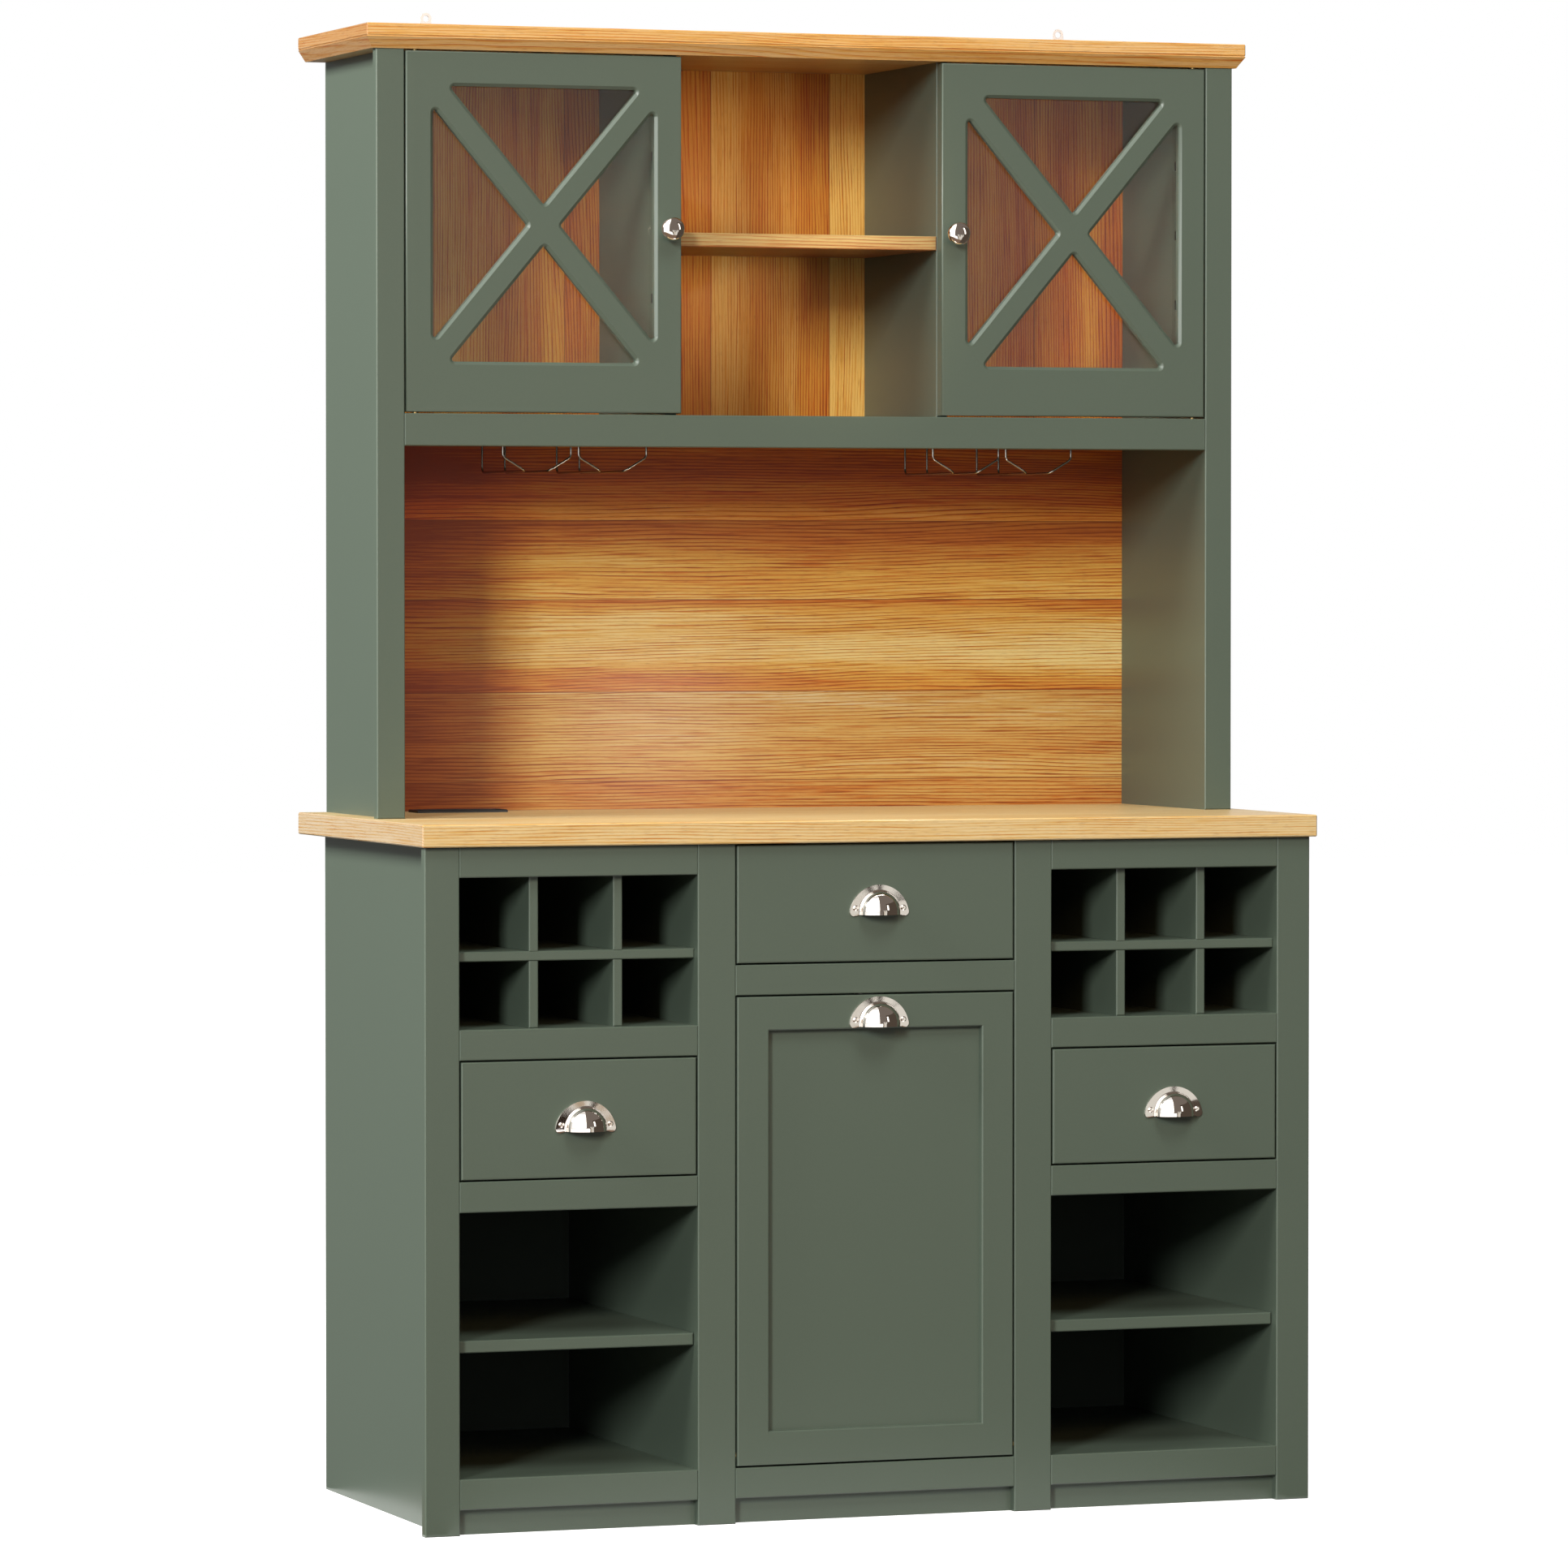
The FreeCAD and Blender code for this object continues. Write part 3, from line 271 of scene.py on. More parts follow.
class CabinetPull(bpy.types.PropertyGroup):
    """Sizes of the cup pulls, inside the outline that the frame gives."""

    cup_radius: length("Cup radius", "Half the width of the cup", 0.026)
    cup_skirt: length("Cup skirt", "Straight part below the round", 0.004)
    lip_rise: length("Lip rise", "Height of the cup's lower edge over the plate's", 0.002)
    plate_edge: length("Plate edge", "Depth of the plate at its rim", 0.0022)
    plate_crown: length("Plate crown", "Depth of the plate where the cup rises", 0.0025)
    wall: length("Wall", "Thickness of the pressed metal", 0.0012)
    corner: length("Corner", "Radius of the plate's lower corners", 0.0055)
    root: length("Root", "Radius where the cup rises from the plate", 0.0012)
    screw_spacing: length("Screw spacing", "Distance between the two screws", 0.064)
    screw_height: length("Screw height", "Height of the screws over the plate's lower edge", 0.0105)
    screw_radius: length("Screw radius", "Half the width of a screw head", 0.0036)


class CabinetWire(bpy.types.PropertyGroup):
    """Sizes of the stemware racks' wire."""

    radius: length("Wire radius", "Half the thickness of the wire", 0.0014)
    bend: length("Bend", "Radius of the wire's bends", 0.007)
    slot: length("Slot", "Distance between the two wires of a slot", 0.031)
    pitch: length("Pitch", "Distance between the slots of one rack", 0.102)
    mouth: length("Mouth", "Width of a slot where it flares", 0.0915)
    flare: length("Flare", "Height of the slanted run", 0.018)
    strip: length("Strip", "Width of the screwed strips", 0.012)
    strip_thick: length("Strip thickness", "Thickness of the screwed strips", 0.002)


class CabinetStage(bpy.types.PropertyGroup):
    """Camera, light and floor."""

    camera_place: position("Camera", "Where the camera stands", (-3.4213, -9.3253, 1.1916))
    camera_turn: angle("Camera turn", "Turn of the camera to the right", math.radians(19.9764))
    camera_tilt: angle("Camera tilt", "Tilt of the camera downwards", math.radians(1.573))
    lens: plain_number("Lens", "Focal length in millimetres", 177.25)
    key_turn: angle("Key turn", "Direction of the key lamp, left of the front", math.radians(40.0))
    key_height: angle("Key height", "Height of the key lamp", math.radians(18.5))
    key_power: power("Key power", "Power of the key lamp", 7400.0)
    fill_power: power("Fill power", "Power of the lamp in front", 29.0)
    side_power: power("Side power", "Power of the lamp at the left", 510.0)
    top_power: power("Top power", "Power of the high lamp", 780.0)
    fill_shade: colour("Fill colour", "Warm light that comes back from the room", (1.0, 0.56, 0.28))
    side_shade: colour("Side colour", "Light at the left", (1.0, 0.96, 0.92))
    niche_power: power("Niche power", "Power of the lamp for the open compartment", 0.15)
    niche_shade: colour("Niche colour", "Light in the open compartment", (1.0, 0.80, 0.48))
    ambient: factor("Ambient", "Light from all round", 0.02)


# Node helpers
def add(tree, kind, inputs=None, **settings):
    """A new node with its settings made; an input is a value, a socket or a list of sockets."""
    made = tree.nodes.new(kind)
    for name, value in settings.items():
        setattr(made, name, value)
    for name, value in (inputs or {}).items():
        for part in value if isinstance(value, list) else [value]:
            if isinstance(part, bpy.types.NodeSocket):
                tree.links.new(part, made.inputs[name])
            else:
                made.inputs[name].default_value = part
    return made


def first(tree, kind, inputs=None, **settings):
    """The first output of a new node."""
    return add(tree, kind, inputs, **settings).outputs[0]


def lead(tree, sockets, values):
    """Link values to sockets by name."""
    for name, value in values.items():
        tree.links.new(value, sockets[name])


def reckon(tree, operation, one, two=0.5, clamp=False):
    """The result of one sum."""
    return first(tree, "ShaderNodeMath", {0: one, 1: two}, operation=operation, use_clamp=clamp)


def times(tree, one, two):
    """A product."""
    return reckon(tree, "MULTIPLY", one, two)


def plus(tree, one, two, clamp=False):
    """A total, held between 0 and 1 if it is clamped."""
    return reckon(tree, "ADD", one, two, clamp)


def minus(tree, one, two):
    """A difference."""
    return reckon(tree, "SUBTRACT", one, two)


def centred(tree, value):
    """A noise value moved to lie round nothing."""
    return minus(tree, value, 0.5)


def span(tree, value, low, high, start=0.0, end=1.0):
    """A value carried from one range to another, and held at its ends."""
    inputs = {"Value": value, "From Min": low, "From Max": high, "To Min": start, "To Max": end}
    return first(tree, "ShaderNodeMapRange", inputs)


def vector(tree, **parts):
    """A vector of its X, Y and Z."""
    return first(tree, "ShaderNodeCombineXYZ", parts)


def ramp(tree, value, stops):
    """A colour ramp with the given stops, each a grey or a colour."""
    made = add(tree, "ShaderNodeValToRGB", {"Fac": value})
    elements = made.color_ramp.elements
    while len(elements) < len(stops):
        elements.new(0.5)
    for element, (place, shade) in zip(elements, stops):
        element.position = place
        element.color = (*shade, 1.0) if isinstance(shade, tuple) else (shade, shade, shade, 1.0)
    return made.outputs["Color"]


def mixed(tree, share, base, over, blend="MIX"):
    """A colour with a plain one mixed over it; 6, 7 and 2 are the Mix node's colour sockets."""
    inputs = {0: share, 6: base, 7: (*over, 1.0)}
    return add(tree, "ShaderNodeMix", inputs, data_type="RGBA", blend_type=blend).outputs[2]


def noise(tree, place, scale=1.0, detail=2.0, roughness=0.5):
    """A grey noise value."""
    inputs = {"Vector": place, "Scale": scale, "Detail": detail, "Roughness": roughness}
    return first(tree, "ShaderNodeTexNoise", inputs)


def stretched(tree, place, scale, shift=ORIGIN, turn=ORIGIN):
    """A vector moved, turned and scaled."""
    inputs = {"Vector": place, "Scale": scale, "Location": shift, "Rotation": turn}
    return first(tree, "ShaderNodeMapping", inputs)


def scaled(shade, share):
    """A plain colour made lighter or darker."""
    return tuple(min(1.0, share * part) for part in shade)


def new_group(name, inputs, outputs, kind="ShaderNodeTree"):
    """A new node group, with what its input node gives and what its output node takes."""
    tree = bpy.data.node_groups.new(name, kind)
    for way, sockets in (("INPUT", inputs), ("OUTPUT", outputs)):
        for label, sort in sockets:
            tree.interface.new_socket(name=label, in_out=way, socket_type="NodeSocket" + sort)
    given = tree.nodes.new("NodeGroupInput").outputs
    return tree, given, tree.nodes.new("NodeGroupOutput").inputs


def shared(name, make):
    """A node group, built the first time that a piece asks for it."""
    return bpy.data.node_groups.get(name) or make()


def use_group(tree, group, inputs):
    """A group placed in a material with its own values."""
    return add(tree, "ShaderNodeGroup", inputs, node_tree=group).outputs


def bare_tree(block):
    """The emptied node tree of a material or a world."""
    block.use_nodes = True
    block.node_tree.nodes.clear()
    return block.node_tree


def new_material(name, **constants):
    """A material with its Principled shader and the object's own coordinates."""
    material = bpy.data.materials.new(name)
    tree = bare_tree(material)
    inputs = {label.replace("_", " "): value for label, value in constants.items()}
    shader = add(tree, "ShaderNodeBsdfPrincipled", inputs)
    add(tree, "ShaderNodeOutputMaterial", {"Surface": shader.outputs["BSDF"]})
    place = add(tree, "ShaderNodeTexCoord").outputs["Object"]
    return material, tree, shader, place


def surfaced(tree, shader, shade, gloss, height, strength, distance):
    """Lead a colour, a gloss and a height into a shader."""
    bump = {"Height": height, "Strength": strength, "Distance": distance}
    normal = first(tree, "ShaderNodeBump", bump)
    lead(tree, shader.inputs, {"Base Color": shade, "Roughness": gloss, "Normal": normal})


# Shared effects
def grain_group():
    """Oak grain along X: a tone for the colour ramp, a mask of short dark pores and a height."""
    tree, given, result = new_group(
        "Oak grain",
        [("Vector", "Vector"), ("Tone", "Float"), ("Contrast", "Float"), ("Rings", "Float")],
        [("Tone", "Float"), ("Pores", "Float"), ("Height", "Float")],
    )
    look = {
        name: noise(tree, stretched(tree, given["Vector"], stretch), 1.0, detail, roughness)
        for name, (stretch, detail, roughness) in GRAIN.items()
    }
    apart = add(tree, "ShaderNodeSeparateXYZ", {"Vector": given["Vector"]}).outputs
    across = plus(tree, apart["Y"], times(tree, apart["Z"], SLANT))
    phase = times(tree, across, given["Rings"])
    phase = plus(tree, phase, times(tree, look["figure"], FIGURE_RINGS))
    phase = plus(tree, phase, times(tree, look["ripple"], RIPPLE_RINGS))
    ring = reckon(tree, "FRACT", phase)
    late = reckon(tree, "POWER", span(tree, ring, LATE_START, 1.0), LATE_POWER)
    late = times(tree, late, span(tree, look["fade"], 0.32, 0.66, 0.25))
    dashes = span(tree, look["dashes"], 0.48, 0.70)
    dashes = times(tree, dashes, plus(tree, times(tree, late, DASH_LATE), DASH_ALL))
    dark = plus(tree, times(tree, late, LATE_SHARE), times(tree, dashes, DASH_SHARE))
    tone = minus(tree, times(tree, centred(tree, look["broad"]), BROAD_SHARE), dark)
    tone = plus(tree, times(tree, tone, given["Contrast"]), given["Tone"], clamp=True)
    pores = span(tree, look["pores"], 0.58, 0.72)
    height = minus(tree, times(tree, ring, RING_HEIGHT), times(tree, pores, PORE_DEPTH))
    lead(tree, result, {"Tone": tone, "Pores": pores, "Height": height})
    return tree


def finish_group(name, effect):
    """A new group for a finish with an effect of its own: its sockets, and a way to end it."""
    tree, given, result = new_group(
        name,
        [("Vector", "Vector"), ("Colour", "Color"), ("Roughness", "Float"), (effect, "Float")],
        [("Colour", "Color"), ("Roughness", "Float"), ("Height", "Float")],
    )

    def end(shade, gloss, height):
        """Multiply the colour by a shade, add to the roughness and give the height."""
        grey = vector(tree, X=shade, Y=shade, Z=shade)
        pair = {0: given["Colour"], 1: grey}
        tinted = first(tree, "ShaderNodeVectorMath", pair, operation="MULTIPLY")
        gloss = plus(tree, given["Roughness"], gloss, clamp=True)
        lead(tree, result, {"Colour": tinted, "Roughness": gloss, "Height": height})
        return tree

    return tree, given, end


def film_group():
    """Sprayed film: a slow drift of shade, a gloss that drifts too, and fine orange peel."""
    tree, given, end = finish_group("Sprayed film", "Drift")
    slow = noise(tree, given["Vector"], 3.2, 3.0)
    speck = noise(tree, given["Vector"], 650.0)
    peel = noise(tree, given["Vector"], 260.0, 2.0, 0.4)
    shift = times(tree, centred(tree, slow), given["Drift"])
    specks = times(tree, centred(tree, speck), 0.10)
    return end(plus(tree, plus(tree, shift, 1.0), specks), times(tree, shift, 0.8), peel)


def metal_group():
    """Plated metal: faint handling marks in the gloss and a fine height."""
    tree, given, end = finish_group("Plated metal", "Marks")
    smear = noise(tree, given["Vector"], 42.0, 3.0, 0.6)
    scratch = noise(tree, stretched(tree, given["Vector"], (2600.0, 120.0, 260.0)))
    marks = times(tree, times(tree, smear, scratch), given["Marks"])
    return end(minus(tree, 1.0, times(tree, marks, 0.6)), marks, scratch)


# Materials
def finish():
    """The scene's finish settings."""
    return bpy.context.scene.cabinet_finish


def grouped(name, group, shade, roughness, effect, bump, **constants):
    """A material that a shared effect gives its look; bump is (strength, distance)."""
    material, tree, shader, place = new_material(name, **constants)
    values = {"Vector": place, "Colour": (*shade, 1.0), "Roughness": roughness, **effect}
    look = use_group(tree, group, values)
    surfaced(tree, shader, look["Colour"], look["Roughness"], look["Height"], *bump)
    return material


def coated(name, shade, roughness, drift, peel, **constants):
    """A sprayed or moulded finish."""
    film = shared("Sprayed film", film_group)
    return grouped(name, film, shade, roughness, {"Drift": drift}, (peel, 0.0004), **constants)


def metal(name):
    """One of the plated metal finishes, made once."""
    source, roughness, marks = METALS[name]
    made = bpy.data.materials.get(name)
    if made:
        return made
    plate = shared("Plated metal", metal_group)
    shade = getattr(finish(), source)
    return grouped(name, plate, shade, roughness, {"Marks": marks}, (0.04, 0.0001), Metallic=1.0)


def board_tone(tree, across, along, boards):
    """Edge-glued boards: the tone of each, a mask of their joints and a mask of the painted shadow
    at their left ends.
    """
    place = vector(tree, X=times(tree, along, SWAY_ALONG), Y=times(tree, across, SWAY_ACROSS))
    swayed = plus(tree, across, times(tree, centred(tree, noise(tree, place)), SWAY))
    # Painted shadow: full at the boards' left ends, fading out along them
    painted_shadow = span(tree, along, *PAINTED_SHADOW_SPAN, 1.0, 0.0)
    tone, joints = None, None
    for start, stop, stops in boards:
        run = ramp(tree, span(tree, swayed, start, stop), stops)
        shade = first(tree, "ShaderNodeSeparateColor", {"Color": run})
        near = reckon(tree, "ABSOLUTE", minus(tree, across, start))
        near = reckon(tree, "LESS_THAN", near, JOINT_HALF)
        if tone is None:
            tone, joints = shade, near
            continue
        past = reckon(tree, "GREATER_THAN", across, start)
        pair = {"Factor": past, "A": tone, "B": shade}
        tone = first(tree, "ShaderNodeMix", pair, data_type="FLOAT")
        joints = reckon(tree, "MAXIMUM", joints, near)
    return minus(tree, tone, times(tree, painted_shadow, PAINTED_SHADOW_DARKENING)), joints, painted_shadow


def oak(
    name, contrast, rings, tone=None, boards=None, shift=ORIGIN, end=PLAIN, tint=PLAIN, zones=()
):
    """Oiled oak along the piece's grain attribute: one board of a tone, or glued boards.

    The tint colours all of it, end the faces that the end attribute marks (on the shelf also
    its underside, where that tint is painted shade), and zones (from, to, tint) the boards
    between two places across the grain. Glued boards also carry a painted shadow, darker and
    redder, at their left ends.
    """
    look = finish()
    material, tree, shader, _ = new_material(name, Specular_IOR_Level=0.36)
    along = add(tree, "ShaderNodeAttribute", attribute_name="grain").outputs["Vector"]
    apart = add(tree, "ShaderNodeSeparateXYZ", {"Vector": along}).outputs
    if boards:
        tone, joints, painted_shadow = board_tone(tree, apart["Y"], apart["X"], boards)
    place = stretched(tree, along, PLAIN, shift)
    values = {"Vector": place, "Tone": tone, "Contrast": contrast, "Rings": rings}
    grain = use_group(tree, shared("Oak grain", grain_group), values)
    shades = (look.oak_deep, look.oak_brown, look.oak_honey, look.oak_pale)
    stops = [(stop, tuple(part)) for stop, part in zip(OAK_STOPS, shades)]
    shade = ramp(tree, grain["Tone"], stops)
    shade = mixed(tree, 1.0, shade, tint, "MULTIPLY")
    for start, stop, cast in zones:
        after = reckon(tree, "GREATER_THAN", apart["Y"], start)
        before = reckon(tree, "LESS_THAN", apart["Y"], stop)
        shade = mixed(tree, times(tree, after, before), shade, cast, "MULTIPLY")
    pore = scaled(look.oak_deep, PORE_SHADE)
    shade = mixed(tree, times(tree, grain["Pores"], PORE_SHARE), shade, pore)
    if boards:
        # Painted shadow: redder where the left side's shadow falls
        shade = mixed(tree, painted_shadow, shade, PAINTED_SHADOW_TINT, "MULTIPLY")
        shade = mixed(tree, times(tree, joints, JOINT_SHARE), shade, pore)
    else:
        ends = add(tree, "ShaderNodeAttribute", attribute_name="end").outputs["Fac"]
        shade = mixed(tree, ends, shade, end, "MULTIPLY")
    gloss = plus(tree, times(tree, grain["Pores"], PORE_GLOSS), look.oak_roughness)
    surfaced(tree, shader, shade, gloss, grain["Height"], 0.08, 0.0004)
    return material


def plywood():
    """Bare plywood of the drawer boxes, with pale grain along the boards."""
    base = finish().plywood
    material, tree, shader, place = new_material("plywood")
    place = stretched(tree, place, (1.0, 0.6, 1.0), turn=(0.0, 0.0, math.pi / 2))
    values = {"Vector": place, "Tone": 0.7, "Contrast": 0.6, "Rings": 120.0}
    grain = use_group(tree, shared("Oak grain", grain_group), values)
    shade = ramp(tree, grain["Tone"], [(0.1, scaled(base, 0.62)), (0.9, scaled(base, 1.15))])
    gloss = plus(tree, times(tree, grain["Pores"], 0.2), 0.55)
    surfaced(tree, shader, shade, gloss, grain["Height"], 0.1, 0.0003)
    return material


def clear_glass():
    """Clear pane, a little grey in places, that lets the lamps through."""
    material, tree, shader, place = new_material(
        "clear_glass", Transmission_Weight=1.0, IOR=1.45, Roughness=0.0
    )
    stops = [(0.3, (0.80, 0.82, 0.80)), (0.7, (0.86, 0.88, 0.86))]
    tint = ramp(tree, noise(tree, place, 7.0, 3.0, 0.6), stops)
    lead(tree, shader.inputs, {"Base Color": tint})
    through = first(tree, "ShaderNodeBsdfTransparent", {"Color": (0.92, 0.94, 0.92, 1.0)})
    shadow = add(tree, "ShaderNodeLightPath").outputs["Is Shadow Ray"]
    both = first(tree, "ShaderNodeMixShader", {0: shadow, 1: shader.outputs["BSDF"], 2: through})
    output = [node for node in tree.nodes if node.type == "OUTPUT_MATERIAL"][0]
    lead(tree, output.inputs, {"Surface": both})
    return material


def finish_nodes(material, nodes):
    """Give CAD nodes a material."""
    for node in nodes:
        slots = NODES[node].data.materials
        if not slots:
            slots.append(material)
        for i in range(len(slots)):
            slots[i] = material


def nodes_in(slot):
    """The CAD nodes that take one of the record's finishes."""
    return [node for node, name in SLOT_OF.items() if name == slot]


# Pieces
def linked(name, data):
    """A new object in the scene."""
    made = bpy.data.objects.new(name, data)
    bpy.context.scene.collection.objects.link(made)
    return made


def new_piece(name, mesh, material, body, nodes=()):
    """A finished piece that rides on a body, and stands for CAD nodes where it replaces them."""
    piece = linked(name, mesh)
    mesh.materials.clear()
    mesh.materials.append(material)
    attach(piece, body)
    if nodes:
        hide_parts(*nodes)
    return piece


def evaluated(holder, name):
    """The plain mesh that a holder's modifiers make; the holder is then removed."""
    graph = bpy.context.evaluated_depsgraph_get()
    mesh = bpy.data.meshes.new_from_object(holder.evaluated_get(graph), depsgraph=graph)
    mesh.name = name
    holder.modifiers.clear()
    bpy.data.objects.remove(holder)
    if not mesh.polygons:
        raise RuntimeError(name + " has no faces")
    return mesh


def mesh_of(form, name):
    """A mesh of a finished form."""
    mesh = bpy.data.meshes.new(name)
    form.to_mesh(mesh)
    form.free()
    return mesh


def joined(node):
    """The form of a CAD node with its loose triangles joined."""
    form = bmesh.new()
    form.from_mesh(NODES[node].data)
    bmesh.ops.remove_doubles(form, verts=form.verts, dist=MERGE)
    return form


def skin(form, rows, closed=False):
    """Faces between each row of points and the next."""
    for one, two in zip(rows, rows[1:]):
        for i in range(len(one) if closed else len(one) - 1):
            j = (i + 1) % len(one)
            form.faces.new((one[i], one[j], two[j], two[i]))


def smooth(mesh, limit=35.0):
    """Shade a mesh smooth, apart from its sharp edges."""
    form = bmesh.new()
    form.from_mesh(mesh)
    bmesh.ops.recalc_face_normals(form, faces=form.faces)
    for face in form.faces:
        face.smooth = True
    sharp = math.radians(limit)
    for edge in form.edges:
        edge.smooth = len(edge.link_faces) == 2 and edge.calc_face_angle(0.0) < sharp
    form.to_mesh(mesh)
    form.free()


def arc(centre, radius, start, end, count):
    """Points on an arc in the plane of a front, as (x, z)."""
    turns = [math.radians(start + (end - start) * i / count) for i in range(count + 1)]
    return [(centre[0] + radius * math.cos(a), centre[1] + radius * math.sin(a)) for a in turns]


def plate_outline(width, height, corner):
    """Half of a pull's plate, from the lower right corner to the top."""
    half = width / 2
    rise = height - corner
    radius = (half * half + rise * rise) / (2 * rise)
    centre = (0.0, height - radius)
    low = math.degrees(math.asin((corner - centre[1]) / radius))
    foot = arc((half - corner, corner), corner, CORNER_START, 0.0, CORNER_STEPS)
    return foot[:-1] + arc(centre, radius, low, 90.0, PULL_ARC)


def pull_rings(width, height, reach, sizes):
    """Half outlines of a cup pull with their depths, from the plate's back to the cup's front."""
    lip = sizes.lip_rise
    equator = lip + sizes.cup_skirt
    rim, crown, root = sizes.plate_edge, sizes.plate_crown, sizes.root

    def cup(radius):
        """Half of the cup's outline, from its lip to the top."""
        skirt = [(radius, lip + (equator - lip) * i / SKIRT_STEPS) for i in range(SKIRT_STEPS)]
        return skirt + arc((0.0, equator), radius, 0.0, 90.0, PULL_ARC)

    edge = plate_outline(width, height, sizes.corner)
    foot = plate_outline(width - 4 * PLATE_EASE, height - 2 * PLATE_EASE, sizes.corner)
    foot = [(x, z + PLATE_EASE) for x, z in foot]
    rings = [(edge, 0.0), (edge, rim * PLATE_BAND), (foot, rim)]
    inner = cup(sizes.cup_radius + root)
    for share in PLATE_FLAT:
        flat = [tuple(a + (b - a) * share for a, b in zip(*pair)) for pair in zip(foot, inner)]
        rings.append((flat, rim + (crown - rim) * share))
    for step in range(ROOT_STEPS):
        turn = math.radians(90.0 * step / ROOT_STEPS)
        swell = root * (1 - math.sin(turn))
        rings.append((cup(sizes.cup_radius + swell), crown + root * (1 - math.cos(turn))))
    base = crown + root
    for step in range(CUP_STEPS + 1):
        turn = math.radians(90.0 * step / CUP_STEPS)
        outline = cup(sizes.cup_radius * math.cos(turn))
        rings.append((outline, base + (reach - base) * math.sin(turn)))
    return rings


def cup_pull_mesh(name, low, high, sizes):
    """One pressed cup pull inside its node's box: a flat plate and the cup that rises from it."""
    middle = (low.x + high.x) / 2
    form = bmesh.new()
    rows = []
    for half, depth in pull_rings(high.x - low.x, high.z - low.z, high.y - low.y, sizes):
        whole = half + [(-x, z) for x, z in reversed(half[:-1])]
        rows.append([form.verts.new((middle + x, high.y - depth, low.z + z)) for x, z in whole])
    skin(form, rows)
    bmesh.ops.remove_doubles(form, verts=form.verts, dist=MERGE)
    bmesh.ops.dissolve_degenerate(form, dist=SLIVER, edges=form.edges)
    bmesh.ops.recalc_face_normals(form, faces=form.faces)
    mesh = mesh_of(form, name)
    front = max(mesh.polygons, key=lambda face: -face.center.y)
    if front.normal.y > 0:
        mesh.flip_normals()
    holder = linked(name + "_form", mesh)
    wall = holder.modifiers.new("Wall", "SOLIDIFY")
    wall.thickness = sizes.wall
    wall.offset = -1.0
    wall.use_even_offset = True
    mesh = evaluated(holder, name)
    for point in mesh.vertices:
        point.co.y = min(point.co.y, high.y)
    smooth(mesh)
    return mesh


def grained_mesh(node, name, order):
    """A copy of a node's mesh with its grain: order is the axes along, across and through."""
    form = joined(node)
    grain = form.loops.layers.float_vector.new("grain")
    end = form.loops.layers.float.new("end")
    for face in form.faces:
        ends = order == "xzy" and abs(face.normal.x) > 0.7
        # The hutch shelf's underside is marked as well: its end tint there is painted shade
        shaded_underside = node == "hutch_shelf" and face.normal.z < -0.7
        for corner in face.loops:
            place = corner.vert.co
            corner[grain] = [getattr(place, axis) for axis in ("yzx" if ends else order)]
            corner[end] = float(ends or shaded_underside)
    return mesh_of(form, name)


def routed_mesh(node, name):
    """A copy of a door frame's mesh whose routed edges round the lights are wider at the front."""
    form = joined(node)
    low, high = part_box(node)
    for point in form.verts:
        place = point.co
        near = min(place.x - low.x, high.x - place.x, place.z - low.z, high.z - place.z)
        slopes = [face.normal for face in point.link_faces if -0.9 < face.normal.y < -0.5]
        if place.y < low.y + 1e-4 and near > FRAME_RIM and slopes:
            away = Vector((sum(n.x for n in slopes), 0.0, sum(n.z for n in slopes))).normalized()
            point.co -= ROUTED_EDGE * away
    return mesh_of(form, name)


def turned_mesh(name, seat, profile):
    """A turned piece that stands out from a front: (radius, reach) pairs round an axis along Y."""
    form = bmesh.new()
    turns = [2 * math.pi * i / KNOB_SIDES for i in range(KNOB_SIDES)]
    rows = []
    for radius, reach in profile:
        ring = [Vector((radius * math.cos(a), -reach, radius * math.sin(a))) for a in turns]
        rows.append([form.verts.new(seat + point) for point in ring])
    skin(form, rows, closed=True)
    form.faces.new(rows[0])
    form.faces.new(rows[-1])
    bmesh.ops.remove_doubles(form, verts=form.verts, dist=MERGE)
    mesh = mesh_of(form, name)
    smooth(mesh, 50.0)
    return mesh


def knob_profile(radius, reach):
    """A rose, a waisted stem and a flattened ball, as (radius, reach) pairs."""
    points = [(radius * r, reach * y) for r, y in KNOB_STEM]
    for step in range(KNOB_STEPS + 1):
        turn = math.radians(KNOB_LOW + (90.0 - KNOB_LOW) * step / KNOB_STEPS)
        out, up = math.cos(turn), math.sin(turn)
        if up > 0.0:
            out, up = max(0.0, out) ** KNOB_FLAT, up ** KNOB_FLAT
        points.append((max(1e-5, radius * out), KNOB_MIDDLE * reach + KNOB_DEPTH * reach * up))
    return points


def wire_paths(name, low, high, sizes):
    """The straight runs of one rack's four wires."""
    front = low.y + sizes.strip / 2
    rear = high.y - sizes.strip / 2
    top = high.z - sizes.strip_thick * 0.5
    bottom = low.z + sizes.radius
    middle = (low.x + high.x) / 2
    spread = (sizes.mouth - sizes.slot) / 2
    points, edges = [], []
    for slot in (-1, 1):
        for side in (-1, 1):
            x = middle + slot * sizes.pitch / 2 + side * sizes.slot / 2
            out = x + side * spread
            start = len(points)
            points += [(x, rear, top), (x, rear, bottom), (x, front, bottom)]
            points += [(out, front, bottom + sizes.flare), (out, front, top)]
            edges += [(start + i, start + i + 1) for i in range(4)]
    mesh = bpy.data.meshes.new(name)
    mesh.from_pydata(points, edges, [])
    return mesh


